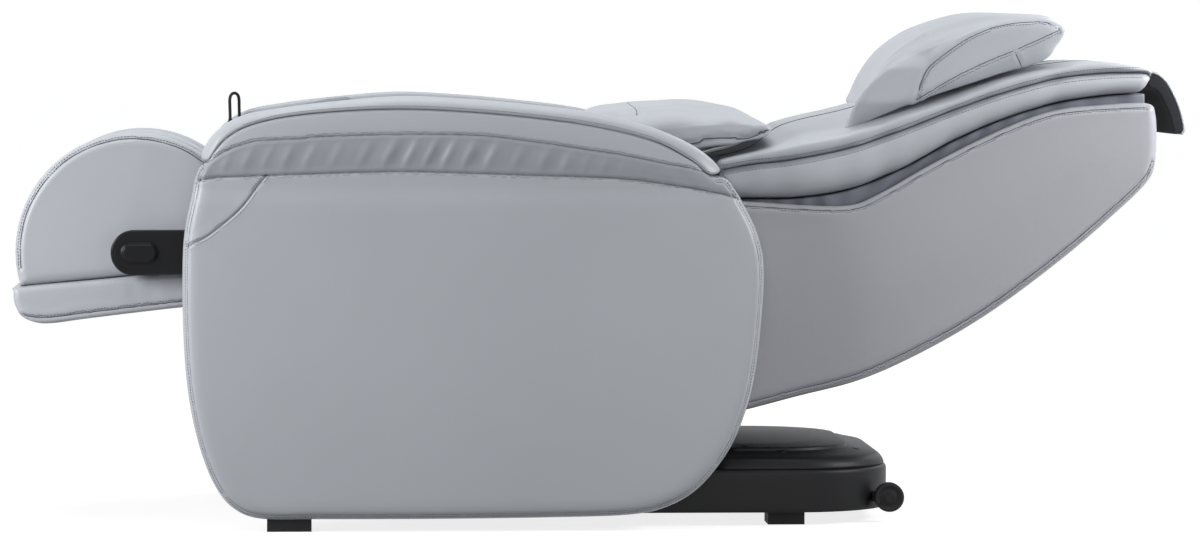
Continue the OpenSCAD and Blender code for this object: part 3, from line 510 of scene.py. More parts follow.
class Bundle:
    """Many small closed shapes that become one object."""

    def __init__(self):
        self.points = []
        self.faces = []
        self.count = 0

    def add(self, points, faces):
        self.points.append(np.asarray(points, float))
        self.faces += [tuple(i + self.count for i in f) for f in faces]
        self.count += len(points)

    def join(self, other):
        self.add(np.concatenate(other.points), other.faces)

    def tube(self, line, radius, sides=8, normals=None):
        self.add(*tube(line, radius, sides, normals))

    def stitches(self, skin, line, normals, offset=0.0, pitch=5.0, length=3.6, width=1.1,
                 lift=0.25):
        """Sewn thread beside a seam: one short raised stitch after another."""
        line = np.asarray(line)
        t = unit(np.gradient(line, axis=0))
        beside = line + np.cross(normals, t) * offset
        track = even(beside, pitch)
        at, n = skin.lay_near(track)
        t = unit(np.gradient(at, axis=0))
        b = np.cross(n, t)
        box = [(-1, -1, -1), (1, -1, -1), (1, 1, -1), (-1, 1, -1),
               (-0.75, -0.6, 1), (0.75, -0.6, 1), (0.75, 0.6, 1), (-0.75, 0.6, 1)]
        quads = [(0, 3, 2, 1), (4, 5, 6, 7), (0, 1, 5, 4), (1, 2, 6, 5), (2, 3, 7, 6), (3, 0, 4, 7)]
        for c, tt, bb, nn in zip(at, t, b, n):
            pts = [c + tt * x * length / 2 + bb * y * width / 2 + nn * (z * 0.45 + lift)
                   for x, y, z in box]
            self.add(pts, quads)

    def skin(self):
        return Skin(np.concatenate(self.points), self.faces)


def sew(skin, at, crease, seams, thread, threads=None, offsets=()):
    """A seam along a line laid on the skin: crease, shadow thread [sink, radius] and stitches."""
    skin.crease(at, *crease)
    at, n = skin.lay_near(at)
    seams.tube(at - n * thread[0], thread[1], 6)
    for offset in offsets:
        threads.stitches(skin, at, n, offset)


# ------------------------------------------------------------------ materials

def nodes_of(material):
    material.use_nodes = True
    tree = material.node_tree
    shader = tree.nodes["Principled BSDF"]
    return tree, tree.nodes, tree.links, shader


def mixed_colour(tree, factor, low, high):
    ramp = tree.nodes.new("ShaderNodeValToRGB")
    ramp.color_ramp.elements[0].color = (*low, 1)
    ramp.color_ramp.elements[1].color = (*high, 1)
    tree.links.new(factor, ramp.inputs["Fac"])
    return ramp.outputs["Color"]


def noise(tree, scale, detail=3.0, stretch=(1, 1, 1)):
    place = tree.nodes.new("ShaderNodeTexCoord")
    mapping = tree.nodes.new("ShaderNodeMapping")
    mapping.inputs["Scale"].default_value = stretch
    tree.links.new(place.outputs["Object"], mapping.inputs["Vector"])
    tex = tree.nodes.new("ShaderNodeTexNoise")
    tex.inputs["Scale"].default_value = scale
    tex.inputs["Detail"].default_value = detail
    tree.links.new(mapping.outputs["Vector"], tex.inputs["Vector"])
    return tex.outputs["Fac"]


def ranged(tree, value, low, high):
    node = tree.nodes.new("ShaderNodeMapRange")
    node.inputs["To Min"].default_value = low
    node.inputs["To Max"].default_value = high
    tree.links.new(value, node.inputs["Value"])
    return node.outputs["Result"]


def linear(srgb):
    out = []
    for c in srgb:
        c /= 255
        out.append(c / 12.92 if c < 0.04045 else ((c + 0.055) / 1.055) ** 2.4)
    return np.array(out)


def bumped(tree, height, strength, distance, under=None):
    """Bump of that height over another bump's normal."""
    node = tree.nodes.new("ShaderNodeBump")
    node.inputs["Strength"].default_value = strength
    node.inputs["Distance"].default_value = distance
    tree.links.new(height, node.inputs["Height"])
    if under:
        tree.links.new(under, node.inputs["Normal"])
    return node.outputs["Normal"]


def leather(name, srgb, rough=0.42, grain=520.0, bump=0.22):
    """Coated leather: pebble grain, soft patches of tone and gloss."""
    material = bpy.data.materials.new(name)
    tree, nodes, links, shader = nodes_of(material)
    base = linear(srgb)
    patches = noise(tree, 5.0, 4.0)
    links.new(mixed_colour(tree, patches, base * 0.955, base * 1.045), shader.inputs["Base Color"])
    links.new(ranged(tree, noise(tree, 38.0, 5.0), rough - 0.06, rough + 0.06),
              shader.inputs["Roughness"])
    place = nodes.new("ShaderNodeTexCoord")
    cells = nodes.new("ShaderNodeTexVoronoi")
    cells.feature = "DISTANCE_TO_EDGE"
    cells.inputs["Scale"].default_value = grain
    links.new(place.outputs["Object"], cells.inputs["Vector"])
    edge = nodes.new("ShaderNodeMapRange")
    edge.inputs["From Max"].default_value = 0.25
    links.new(cells.outputs["Distance"], edge.inputs["Value"])
    pebbles = bumped(tree, edge.outputs["Result"], bump, 0.0002)
    creased = bumped(tree, noise(tree, 90.0, 4.0), 0.16, 0.0012, pebbles)
    links.new(creased, shader.inputs["Normal"])
    shader.inputs["Specular IOR Level"].default_value = 0.45
    return material


def grained(name, srgb, rough, metallic=0.0, scale=60.0, stretch=(1, 1, 1), spread=0.08,
            bump=0.1, depth=0.0003, shine=0.5):
    """Plastic, paint, rubber, metal or felt: fine noise in tone, gloss and height."""
    material = bpy.data.materials.new(name)
    tree, nodes, links, shader = nodes_of(material)
    base = linear(srgb)
    fine = noise(tree, scale, 5.0, stretch)
    links.new(mixed_colour(tree, fine, base * (1 - spread), np.minimum(base * (1 + spread), 1)),
              shader.inputs["Base Color"])
    links.new(ranged(tree, noise(tree, scale * 0.3, 3.0, stretch), rough - 0.05, rough + 0.05),
              shader.inputs["Roughness"])
    height = noise(tree, scale * 4, 2.0, stretch)
    links.new(bumped(tree, height, bump, depth), shader.inputs["Normal"])
    shader.inputs["Metallic"].default_value = metallic
    shader.inputs["Specular IOR Level"].default_value = shine
    return material


def plywood(name):
    material = bpy.data.materials.new(name)
    tree, nodes, links, shader = nodes_of(material)
    grain = noise(tree, 9.0, 6.0, (1, 6, 24))
    links.new(mixed_colour(tree, grain, linear((148, 112, 72)), linear((204, 172, 128))),
              shader.inputs["Base Color"])
    links.new(ranged(tree, grain, 0.5, 0.68), shader.inputs["Roughness"])
    links.new(bumped(tree, grain, 0.15, 0.0004), shader.inputs["Normal"])
    return material


LOOK = {
    "leather": leather("leather", (171, 174, 180)),
    # darker copy of the same leather: painted shade on the arm's gathered strip and in the calf wells
    "strip": leather("leather_strip_painted_shade", (148, 151, 158), rough=0.5),
    # darker copy of the same leather: painted shade over the backrest shell's sides
    "shell": leather("leather_shell_painted_shade", (158, 159, 165), rough=0.42),
    # darker, bluer copy of the leather: painted shade on the handset holder
    "cradle": leather("leather_cradle_painted_shade", (142, 147, 157), rough=0.46),
    # dark copy of the leather: painted shade in the recess under the back pad
    "deck": leather("leather_deck_painted_shade", (104, 107, 117), rough=0.5),
    "thread": grained("thread", (104, 107, 116), 0.7, scale=900.0, bump=0.4),
    "seam": grained("seam_shadow", (74, 77, 85), 0.8, scale=500.0),
    "plastic": grained("black_plastic", (17, 17, 19), 0.46, scale=700.0, bump=0.18,
                       depth=0.00015, shine=0.2),
    "gloss": grained("black_trim", (9, 9, 11), 0.3, scale=500.0, bump=0.05, shine=0.2),
    "rubber": grained("rubber", (20, 20, 22), 0.7, scale=300.0, bump=0.25, shine=0.3),
    "steel": grained("painted_steel", (70, 72, 76), 0.42, metallic=0.6, scale=250.0, bump=0.15),
    "bright": grained("bright_steel", (190, 192, 196), 0.28, metallic=1.0, scale=80.0,
                      stretch=(1, 12, 1), spread=0.05),
    "motor": grained("motor_housing", (74, 77, 82), 0.5, metallic=0.3, scale=200.0, bump=0.2),
    "felt": grained("felt", (22, 23, 27), 0.92, scale=420.0, spread=0.3, bump=0.6, depth=0.0008),
    "board": plywood("plywood"),
    "red": grained("button_red", (176, 44, 40), 0.4, scale=300.0),
    "grey": grained("button_grey", (186, 188, 192), 0.4, scale=300.0),
}


# ------------------------------------------------------------------ objects

def link(obj):
    bpy.context.scene.collection.objects.link(obj)
    return obj


def make(name, skin, look, body, node=None):
    """The finished mesh of a skin as an object that rides on a body, for a node that it hides."""
    points = (skin.points + SHIFT) * MM
    mesh = bpy.data.meshes.new(name)
    mesh.from_pydata(points.tolist(), [], skin.faces)
    mesh.polygons.foreach_set("use_smooth", [True] * len(mesh.polygons))
    mesh.materials.append(LOOK[look])
    mesh.update()
    obj = link(bpy.data.objects.new(name, mesh))
    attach(obj, body)
    if node:
        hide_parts(node)
    return obj


def mirrored(skin):
    """The skin on the other side of the chair."""
    return Skin(skin.points * np.array([1, -1, 1]), flipped(skin.faces))


# ------------------------------------------------------------------ camera and cord

def make_camera():
    data = bpy.data.cameras.new("photo_camera")
    data.sensor_width = 36.0
    data.lens = LENS
    camera = bpy.data.objects.new("photo_camera", data)
    camera.location = ((PLAN_SHIFT + CAMERA_X) * MM, CAMERA_Y, CAMERA_Z)
    camera.rotation_euler = CAMERA_TILT
    bpy.context.scene.camera = link(camera)


def make_cord():
    """Handset cord: up out of its strain relief, over, and down into the handset."""
    route = even(smooth_line(CORD_ROUTE, 6), 3.2)
    route = (route + SHIFT) * MM
    data = bpy.data.curves.new("handset_lead", "CURVE")
    data.dimensions = "3D"
    data.bevel_depth = CORD_D / 2 * MM
    data.bevel_resolution = 4
    data.use_fill_caps = True
    spline = data.splines.new("POLY")
    spline.points.add(len(route) - 1)
    for point, at in zip(spline.points, route):
        point.co = (*at, 1)
    data.materials.append(LOOK["rubber"])
    cord = link(bpy.data.objects.new("handset_lead", data))
    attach(cord, "root")
    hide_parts("handset_cord")


make_camera()
make_cord()


# ------------------------------------------------------------------ arms

def arm_panel_ring(spacing=4.5):
    seam = [(x, z - 1.2) for x, z in ARM_SEAM]
    return outline(seam + ARM_BACK + ARM_FOOT + ARM_FRONT, spacing)


ARM_SEAM_TOP = smooth_line([(x, z - 1.2) for x, z in ARM_SEAM], 6)
STRIP_UPPER_LINE = smooth_line(STRIP_UPPER, 6)
STRIP_LOWER_LINE = smooth_line(STRIP_LOWER, 6)
INSERT_LINE = smooth_line(INSERT_EDGE, 6)


def strip_place(flat):
    """How far up the gathered strip each point lies, and the strip's upper edge there."""
    upper = np.interp(flat[:, 0], STRIP_UPPER_LINE[:, 0], STRIP_UPPER_LINE[:, 1])
    lower = np.interp(flat[:, 0], STRIP_LOWER_LINE[:, 0], STRIP_LOWER_LINE[:, 1])
    return (flat[:, 1] - lower) / np.maximum(upper - lower, 1), upper


def arm_welt_line(ring):
    """Line just inside the panel's edge, all round but for the top pad's seam."""
    face = inset(ring, 7.0)
    away = line_distance(face, ARM_SEAM_TOP) > 14.0
    start = int(np.argmax(away & ~np.roll(away, 1)))
    return np.roll(face, -start, axis=0)[:int(away.sum())]


def arm_outer_height(flat, d):
    """How far the outer face stands over the panel's rim."""
    at_seam = line_distance(flat, ARM_SEAM_TOP)
    full = dome(22.0)(flat, d)
    fade = tip_fade(flat[:, 0])
    shallow = 22.0 - 4.6 * (1 - np.clip(at_seam / 60.0, 0, 1)) ** 2
    shallow -= 0.5 * np.clip(1 - at_seam / 3.0, 0, 1) ** 2
    share = 1 - (1 - np.clip((at_seam - d) / 12.0, 0, 1)) * fade
    return full * share + shallow * (1 - share)


def arm_panel_skin():
    ring = arm_panel_ring()
    welt = arm_welt_line(ring)
    grid = hex_grid((-600, 495), (210, 605), 3.6)
    place, _ = strip_place(grid)
    rows = seam_rows([STRIP_UPPER_LINE, STRIP_LOWER_LINE, INSERT_LINE, welt])
    extra = thinned(np.concatenate([rows, grid[(place > 0.08) & (place < 0.92)]]), 1.2)
    ys = np.linspace(-(ARM_OUT - 22.0), -ARM_IN - 1.0, 11)
    skin = capped_loft([(y, ring) for y in ys], 7.5, 22.0, 2.5, arm_outer_height, dome(2.5),
                       extra0=extra)
    # the rim under the top pad comes out with the face
    top = np.where(line_distance(ring, ARM_SEAM_TOP) < 3.0, 1.0, 0.0) * tip_fade(ring[:, 0])
    n = len(ring)
    for k in range(5):
        skin.points[k * n:(k + 1) * n, 1] -= top * (15.4 * (1 - k / 5.0))
    flat = skin.points[:, [0, 2]]
    outward = np.clip((-skin.points[:, 1] - (ARM_OUT - 26.0)) / 14.0, 0, 1)
    # broad crown of the panel, gathered strip and band under the pad
    crown = 1 - ((flat[:, 0] + 190) / 460.0) ** 2 - ((flat[:, 1] - 300) / 330.0) ** 2
    s, upper = strip_place(flat)
    s = np.clip(s, 0, 1)
    hump = np.sin(np.pi * s)
    x = flat[:, 0] - 0.3 * (flat[:, 1] - 565.0) + 3.0 * np.sin(flat[:, 1] / 14.0)
    wave = np.exp(1.3 * np.sin(x / 5.4 + 1.5 * np.sin(x / 41.0))) - 1.2
    wave += 0.9 * np.sin(x / 8.7 + 1.0 + 1.1 * np.sin(x / 63.0))
    strong = 0.35 + 0.65 * np.exp(-((x + 210) / 200.0) ** 2)
    gathers = 1.1 * strong * wave * hump ** 1.1
    # the strip leans out towards the band over it
    in_strip = np.clip((flat[:, 1] - 495) / 20, 0, 1)
    lean = np.interp(s, [0, 1], [-3.0, 2.5]) * in_strip
    slope = 1.6 * np.sin(np.pi * np.clip((flat[:, 1] - upper) / 38.0, 0, 1))
    amount = -6.0 + 5.5 * np.clip(crown, 0, 1) + 2.2 * hump + gathers + lean + slope
    skin.points[:, 1] -= outward * amount * 0.9
    return skin, welt


def arm_shapes():
    """Outer panel with its gathered strip and corner insert, the top pad, and the sewing."""
    skin, welt = arm_panel_skin()
    lines = {}
    for key, line in (("upper", STRIP_UPPER), ("lower", STRIP_LOWER), ("insert", INSERT_EDGE),
                      ("welt", welt[::3])):
        lines[key] = skin.lay(line, (0, 1, 0))[0]
    skin.crease(lines["upper"], 1.9, 1.4, 0.8)
    skin.crease(lines["lower"], 1.9, 1.6, 0.8)
    skin.crease(lines["insert"], 1.9, 1.3, 0.8)
    skin.crease(lines["welt"], 1.9, 1.2, 0.7)
    pad = armrest_skin()
    threads, seams = Bundle(), Bundle()
    for key, offsets in (("upper", (4.0,)), ("lower", (-3.8,)), ("insert", (4.2, -4.2)),
                         ("welt", (-4.4,))):
        at, n = skin.lay_near(lines[key])
        seams.tube(at - n * 0.2, 0.45, 6)
        for off in offsets:
            threads.stitches(skin, at, n, off, pitch=4.6, length=2.9, width=0.9)
    at, n = pad.lay([(x, z + 4.0) for x, z in ARM_SEAM[2:]], (0, 1, 0))
    threads.stitches(pad, at, n, pitch=4.6, length=2.9, width=0.9)
    return skin, pad, threads.skin(), seams.skin()


def make_arms():
    panel, pad, threads, seams = arm_shapes()
    for side, prefix in ((-1, "left"), (1, "right")):
        def near_or_far(shape):
            return shape if side < 0 else mirrored(shape)
        face = near_or_far(panel)
        cover = make(f"{prefix}_arm_panel_cover", face, "leather", "root",
                     f"{prefix}_arm_panel")
        shade_strip_faces(cover, face)
        make(f"{prefix}_armrest_cover", near_or_far(pad), "leather", "root",
             f"{prefix}_armrest_pad")
        make(f"{prefix}_arm_stitching", near_or_far(threads), "thread", "root")
        make(f"{prefix}_arm_seams", near_or_far(seams), "seam", "root")


def shade_strip_faces(obj, skin):
    """Gives the faces of the gathered strip a darker copy of the same leather: painted shade."""
    obj.data.materials.append(LOOK["strip"])
    middles = np.array([skin.points[list(f)].mean(0) for f in skin.faces])
    place, _ = strip_place(middles[:, [0, 2]])
    outer = np.abs(middles[:, 1]) > ARM_OUT - 16.0
    strip = (place > 0.0) & (place < 1.0) & outer
    obj.data.polygons.foreach_set("material_index", strip.astype(int).tolist())


def armrest_skin():
    """Crescent pad on the arm's crest, drawn for the near arm."""
    ring = outline(ARM_CREST + ARM_SEAM[::-1], 4.5)
    crest = smooth_line(ARM_CREST, 6)
    seam = smooth_line(ARM_SEAM, 6)

    def outer(flat, d):
        up = line_distance(flat, seam)
        down = line_distance(flat, crest)
        t = up / np.maximum(up + down, 1e-6)
        rise = 25.4 * np.sqrt(np.maximum(0, 1 - (np.clip(t, 0, 1)) ** 2))
        rise -= 0.5 * np.clip(1 - up / 2.5, 0, 1) ** 2
        return rise * tip_fade(flat[:, 0])

    ys = np.linspace(-(ARM_OUT - 31.0), -(ARM_IN + 7.0), 12)
    sections = []
    for k, y in enumerate(ys):
        t = k / (len(ys) - 1)
        swell = -0.8 * math.sin(math.pi * min(1.0, t * 1.05))
        sections.append((y, ring + np.array([0, swell]) * rise_mask(ring, crest)[:, None]))
    skin = capped_loft(sections, 5.0, 16.0, 6.0, outer, dome(6.0))
    n = len(ring)
    low = np.clip(1 - line_distance(ring, seam) / 12.0, 0, 1) * tip_fade(ring[:, 0])
    for k in range(3):
        skin.points[k * n:(k + 1) * n, 1] -= low * (23.0 * (1 - k / 3.0))
    return skin


def tip_fade(x):
    """Closes the outer face of the pad in towards its two tips."""
    front = 1 - np.clip((x + 605.0) / 34.0, 0, 1)
    rear = 1 - np.clip((177.0 - x) / 70.0, 0, 1)
    return np.sqrt(np.maximum(0, 1 - np.maximum(front, rear) ** 2))


def rise_mask(ring, crest):
    return np.clip(1 - line_distance(ring, crest) / 8.0, 0, 1)


make_arms()


# ------------------------------------------------------------------ ottoman

def at_ottoman(skin):
    """Tilts a shape drawn round the ottoman's pivot into its place."""
    a = math.radians(-OTTOMAN_TILT)
    x, z = skin.points[:, 0].copy(), skin.points[:, 2].copy()
    skin.points[:, 0] = FLIP_AT[0] + x * math.cos(a) + z * math.sin(a)
    skin.points[:, 2] = FLIP_AT[1] - x * math.sin(a) + z * math.cos(a)
    return skin


def calf_ring(spacing=4.5):
    """Round back, flat foot side with small corner radii."""
    a0 = math.asin(CALF_FOOT / CALF_R)
    arc = [(CALF_R * math.cos(a), CALF_R * math.sin(a))
           for a in np.linspace(a0, math.pi - a0, 90)]
    return ccw(even(arc, spacing, closed=True))


def calf_wall(y0, y1, outer):
    """One padded half-round wall; outer says which of its faces carry the sewn border."""
    ring = calf_ring()
    n = len(ring)
    flat_side = ring[:, 1] < CALF_FOOT + 2
    ys = np.linspace(y0 + 13, y1 - 13, 8)
    sections = []
    for k, y in enumerate(ys):
        t = 2 * k / (len(ys) - 1) - 1
        draw = 1.4 * t * t
        sections.append((y, inset(ring, np.where(flat_side, 0, draw))))
    height = dome(13.0, 17.0)
    border = inset(ring, 8.5)
    border = border[border[:, 1] > CALF_FOOT + 16]
    start = int(np.argmax(np.linalg.norm(border - np.roll(border, 1, axis=0), axis=1)))
    border = np.roll(border, -start, axis=0)

    def face(flat, d):
        r = np.hypot(flat[:, 0], flat[:, 1] - 40) / CALF_R
        return height(flat, d) + 1.2 * np.clip(1 - r * r, 0, 1)
    rows = seam_rows([border])
    skin = capped_loft(sections, 7.5, 17.0, 17.0, face, face, rows, rows)
    threads, seams = Bundle(), Bundle()
    for side in outer:
        at, _ = skin.lay(border[::3], (0, -side, 0))
        sew(skin, at, (2.2, 1.8, 0.7), seams, OTTOMAN_SEAM, threads, (3.8 * side,))
    return skin, threads, seams


def calf_trough(y0, y1):
    """Padded floor of a calf well, low along its middle."""
    xs = np.linspace(-165, 165, 46)
    ys = np.linspace(y0, y1, 22)
    n = len(xs)
    top = []
    for y in ys:
        t = (2 * (y - y0) / (y1 - y0) - 1)
        z = WELL_FLOOR - 7 + 7 * t * t
        row = [(x, y, z * (1 - (abs(x) / 176.0) ** 6) - 10 * (abs(x) / 176.0) ** 6) for x in xs]
        top += row
    bottom = [(x, y, CALF_FOOT + 1) for y in (y1, y0) for x in xs]
    points = np.array(top + bottom)
    faces = []
    rows = len(ys) + 2
    for k in range(rows):
        a, b = k * n, ((k + 1) % rows) * n
        faces += [(a + i, a + i + 1, b + i + 1, b + i) for i in range(n - 1)]
    faces.append(tuple(k * n for k in range(rows)))
    faces.append(tuple((k * n + n - 1) for k in reversed(range(rows))))
    return Skin(points, faces)


def make_ottoman():
    """Three padded calf walls, the wells between them and the foot slab."""
    walls = (("left_calf_wall", -OTTOMAN_HALF, -OTTOMAN_HALF + CALF_WALL, (-1, 1)),
             ("middle_calf_wall", -CALF_MID, CALF_MID, (-1, 1)),
             ("right_calf_wall", OTTOMAN_HALF - CALF_WALL, OTTOMAN_HALF, (-1, 1)))
    threads, seams = Bundle(), Bundle()
    for node, y0, y1, outer in walls:
        skin, thread, seam = calf_wall(y0, y1, outer)
        make(f"{node}_cover", at_ottoman(skin), "leather", "ottoman", node)
        threads.join(thread)
        seams.join(seam)
    inner = OTTOMAN_HALF - CALF_WALL
    trough = Bundle()
    for y0, y1 in ((-inner, -CALF_MID), (CALF_MID, inner)):
        trough.add(*calf_trough(y0, y1).shape())
    # the wells take the darker strip leather: painted shade in the recesses between the walls
    make("calf_wells", at_ottoman(trough.skin()), "strip", "ottoman", "ottoman_core")
    line = [(-176, -79), (-160, -84), (-134, -86), (-80, -84.5), (40, -81.5), (120, -80),
            (149, -79)]
    skin = slab_skin(seam_rows([smooth_line(line, 6)]))
    for side in (-1, 1):
        at, _ = skin.lay(line, (0, -side, 0))
        sew(skin, at, (2.4, 1.8, 1.0), seams, OTTOMAN_SEAM, threads, (-4.0 * side,))
    make("foot_slab_cover", at_ottoman(skin), "leather", "ottoman", "foot_slab")
    make("ottoman_stitching", at_ottoman(threads.skin()), "thread", "ottoman")
    make("ottoman_seams", at_ottoman(seams.skin()), "seam", "ottoman")


def slab_skin(rows):
    """Foot slab with small folds in its sides."""
    ring = outline(FOOT_SLAB, 4.0)
    half = OTTOMAN_HALF
    ys = np.linspace(-half + 9, half - 9, 60)
    sections = [(y, ring) for y in ys]
    skin = capped_loft(sections, 6.0, 11.0, 11.0, dome(9.0, 11.0), dome(9.0, 11.0), rows, rows)
    p = skin.points
    near_edge = np.clip((np.abs(p[:, 1]) - (half - 60)) / 60, 0, 1)
    folds = np.sin(p[:, 0] / 5.5 + 1.3 * np.sin(p[:, 0] / 23.0))
    amount = 0.45 * folds * near_edge * np.clip((p[:, 0] + 60) / 120.0, 0, 1)
    amount = amount * np.clip(1 - np.abs(p[:, 2] + 62) / 30.0, 0, 1)
    skin.push(amount)
    return skin


def stadium(a, b, r, spacing=3.0, end_extra=0.0):
    """Outline of a bar with round ends about two points, wider by end_extra at the first."""
    a, b = np.array(a, float), np.array(b, float)
    ra = r + end_extra
    left = [(a[0] - ra * math.sin(t), a[1] + ra * math.cos(t)) for t in np.linspace(0, math.pi, 40)]
    right = [(b[0] + r * math.sin(t), b[1] - r * math.cos(t)) for t in np.linspace(0, math.pi, 40)]
    return ccw(even(left + right, spacing, closed=True))


def make_brackets():
    """Arms that carry the ottoman, each with an oblong cap over its pivot."""
    for side, prefix in ((-1, "left"), (1, "right")):
        ring = stadium(FLIP_AT, LIFT_AT, BRACKET_R, end_extra=2.0)

        def face(flat, d):
            rim = dome(BRACKET_RIM)(flat, d)
            return rim - 1.6 * np.clip((d - 5.0) / 1.5, 0, 1)
        skin = capped_loft([(y, ring) for y in np.linspace(-BRACKET_OUT + BRACKET_RIM, -BRACKET_IN - 2, 4)],
                           6.0, 8.0, 2.0, face, dome(2.0))
        shape = skin if side < 0 else mirrored(skin)
        make(f"{prefix}_bracket_cover", shape, "gloss", "ottoman_carrier",
             f"{prefix}_bracket")
    caps = Bundle()
    x, z = FLIP_AT[0] + 9, FLIP_AT[1]
    ends = (x - CAP_HALF, z), (x + CAP_HALF, z)
    for side in (-1, 1):
        low = plate(stadium(*ends, 16), -BRACKET_OUT - 3.0, -BRACKET_OUT + 4, 1.6, 0.5, 4.0, 4)
        cap = plate(stadium(*ends, 13.5), -BRACKET_OUT - 6.0, -BRACKET_OUT + 2, 3.0, 0.5, 3.0, 4)
        for shape in (low, cap):
            caps.add(*(shape if side < 0 else mirrored(shape)).shape())
    make("pivot_cap_covers", caps.skin(), "gloss", "ottoman_carrier", "pivot_caps")


make_ottoman()
make_brackets()


# ------------------------------------------------------------------ backrest

def make_shell():
    """Padded shell of the backrest with a sewn edge on each side and two seams underneath."""
    ring = outline(SHELL_TOP + SHELL_UNDER, 5.0)
    half = SHELL_HALF
    ys = np.linspace(-half + 12, half - 12, 56)
    top = [(x, z - 6) for x, z in SHELL_TOP[2:]]
    rear = [(845, 556), (831, 529), (771, 473), (694, 408), (595, 335), (499, 279), (398, 233),
            (296, 206), (210, 184), (166, 178)]
    rows = seam_rows([smooth_line(top, 6), smooth_line(rear, 6)])
    skin = capped_loft([(y, ring) for y in ys], 9.0, 15.0, 15.0, dome(12.0, 15.0),
                       dome(12.0, 15.0), rows, rows)
    p = skin.points
    # slack of the cover over its foam, and a soft crown on each side
    side = np.clip((np.abs(p[:, 1]) - (half - 14)) / 8, 0, 1)
    flat = p[:, [0, 2]]
    d = line_distance(flat, ring, closed=True)
    belly = 3.0 * np.clip(d / 110, 0, 1) * side
    p[:, 1] -= np.sign(p[:, 1]) * (2.0 * side - belly)
    under = np.array(even(smooth_line(SHELL_UNDER[1:-1], 6), 6))
    threads, seams = Bundle(), Bundle()
    for s in (-1, 1):
        for line, beside in ((top, 4.2 * s), (rear, -4.2 * s)):
            at, _ = skin.lay(line, (0, -s, 0), 5.0)
            sew(skin, at, (2.6, 1.8, 0.9), seams, SOFT_SEAM, threads, (beside,))
    for y in (-150.0, 150.0):
        along = np.stack([under[:, 0], np.full(len(under), y), under[:, 1]], 1)
        at, _ = skin.lay_near(along)
        sew(skin, at, (3.0, 1.8, 1.0), seams, SOFT_SEAM, threads, (4.0, -4.0))
    # the shell takes the darker copy of the leather: painted shade
    make("back_shell_cover", skin, "shell", "backrest", "back_shell")
    make("back_shell_stitching", threads.skin(), "thread", "backrest")
    make("back_shell_seams", seams.skin(), "seam", "backrest")


def make_deck():
    """Leather-covered deck that carries the pad, set in from the pad's sides, softly folded; its dark
    leather is painted shade in the gap under the pad.
    """
    over = smooth_line(PAD_LOW, 6) - np.array([0, 1.6])
    under = smooth_line(SHELL_TOP[3:], 6) - np.array([0, 4.0])
    ring = ccw(even(np.vstack([over, under[::-1]]), 4.5, closed=True))
    skin = plate(ring, -DECK_HALF, DECK_HALF, 2.5, 2.5, 5.0, 12)
    p = skin.points
    side = np.clip((np.abs(p[:, 1]) - (DECK_HALF - 6)) / 4, 0, 1)
    folds = np.sin(p[:, 0] / 6.5 + 1.7 * np.sin(p[:, 0] / 47.0)) + 0.6 * np.sin(p[:, 0] / 15.0)
    p[:, 1] -= np.sign(p[:, 1]) * side * (1.6 + 1.3 * folds)
    make("back_deck_cover", skin, "deck", "backrest")


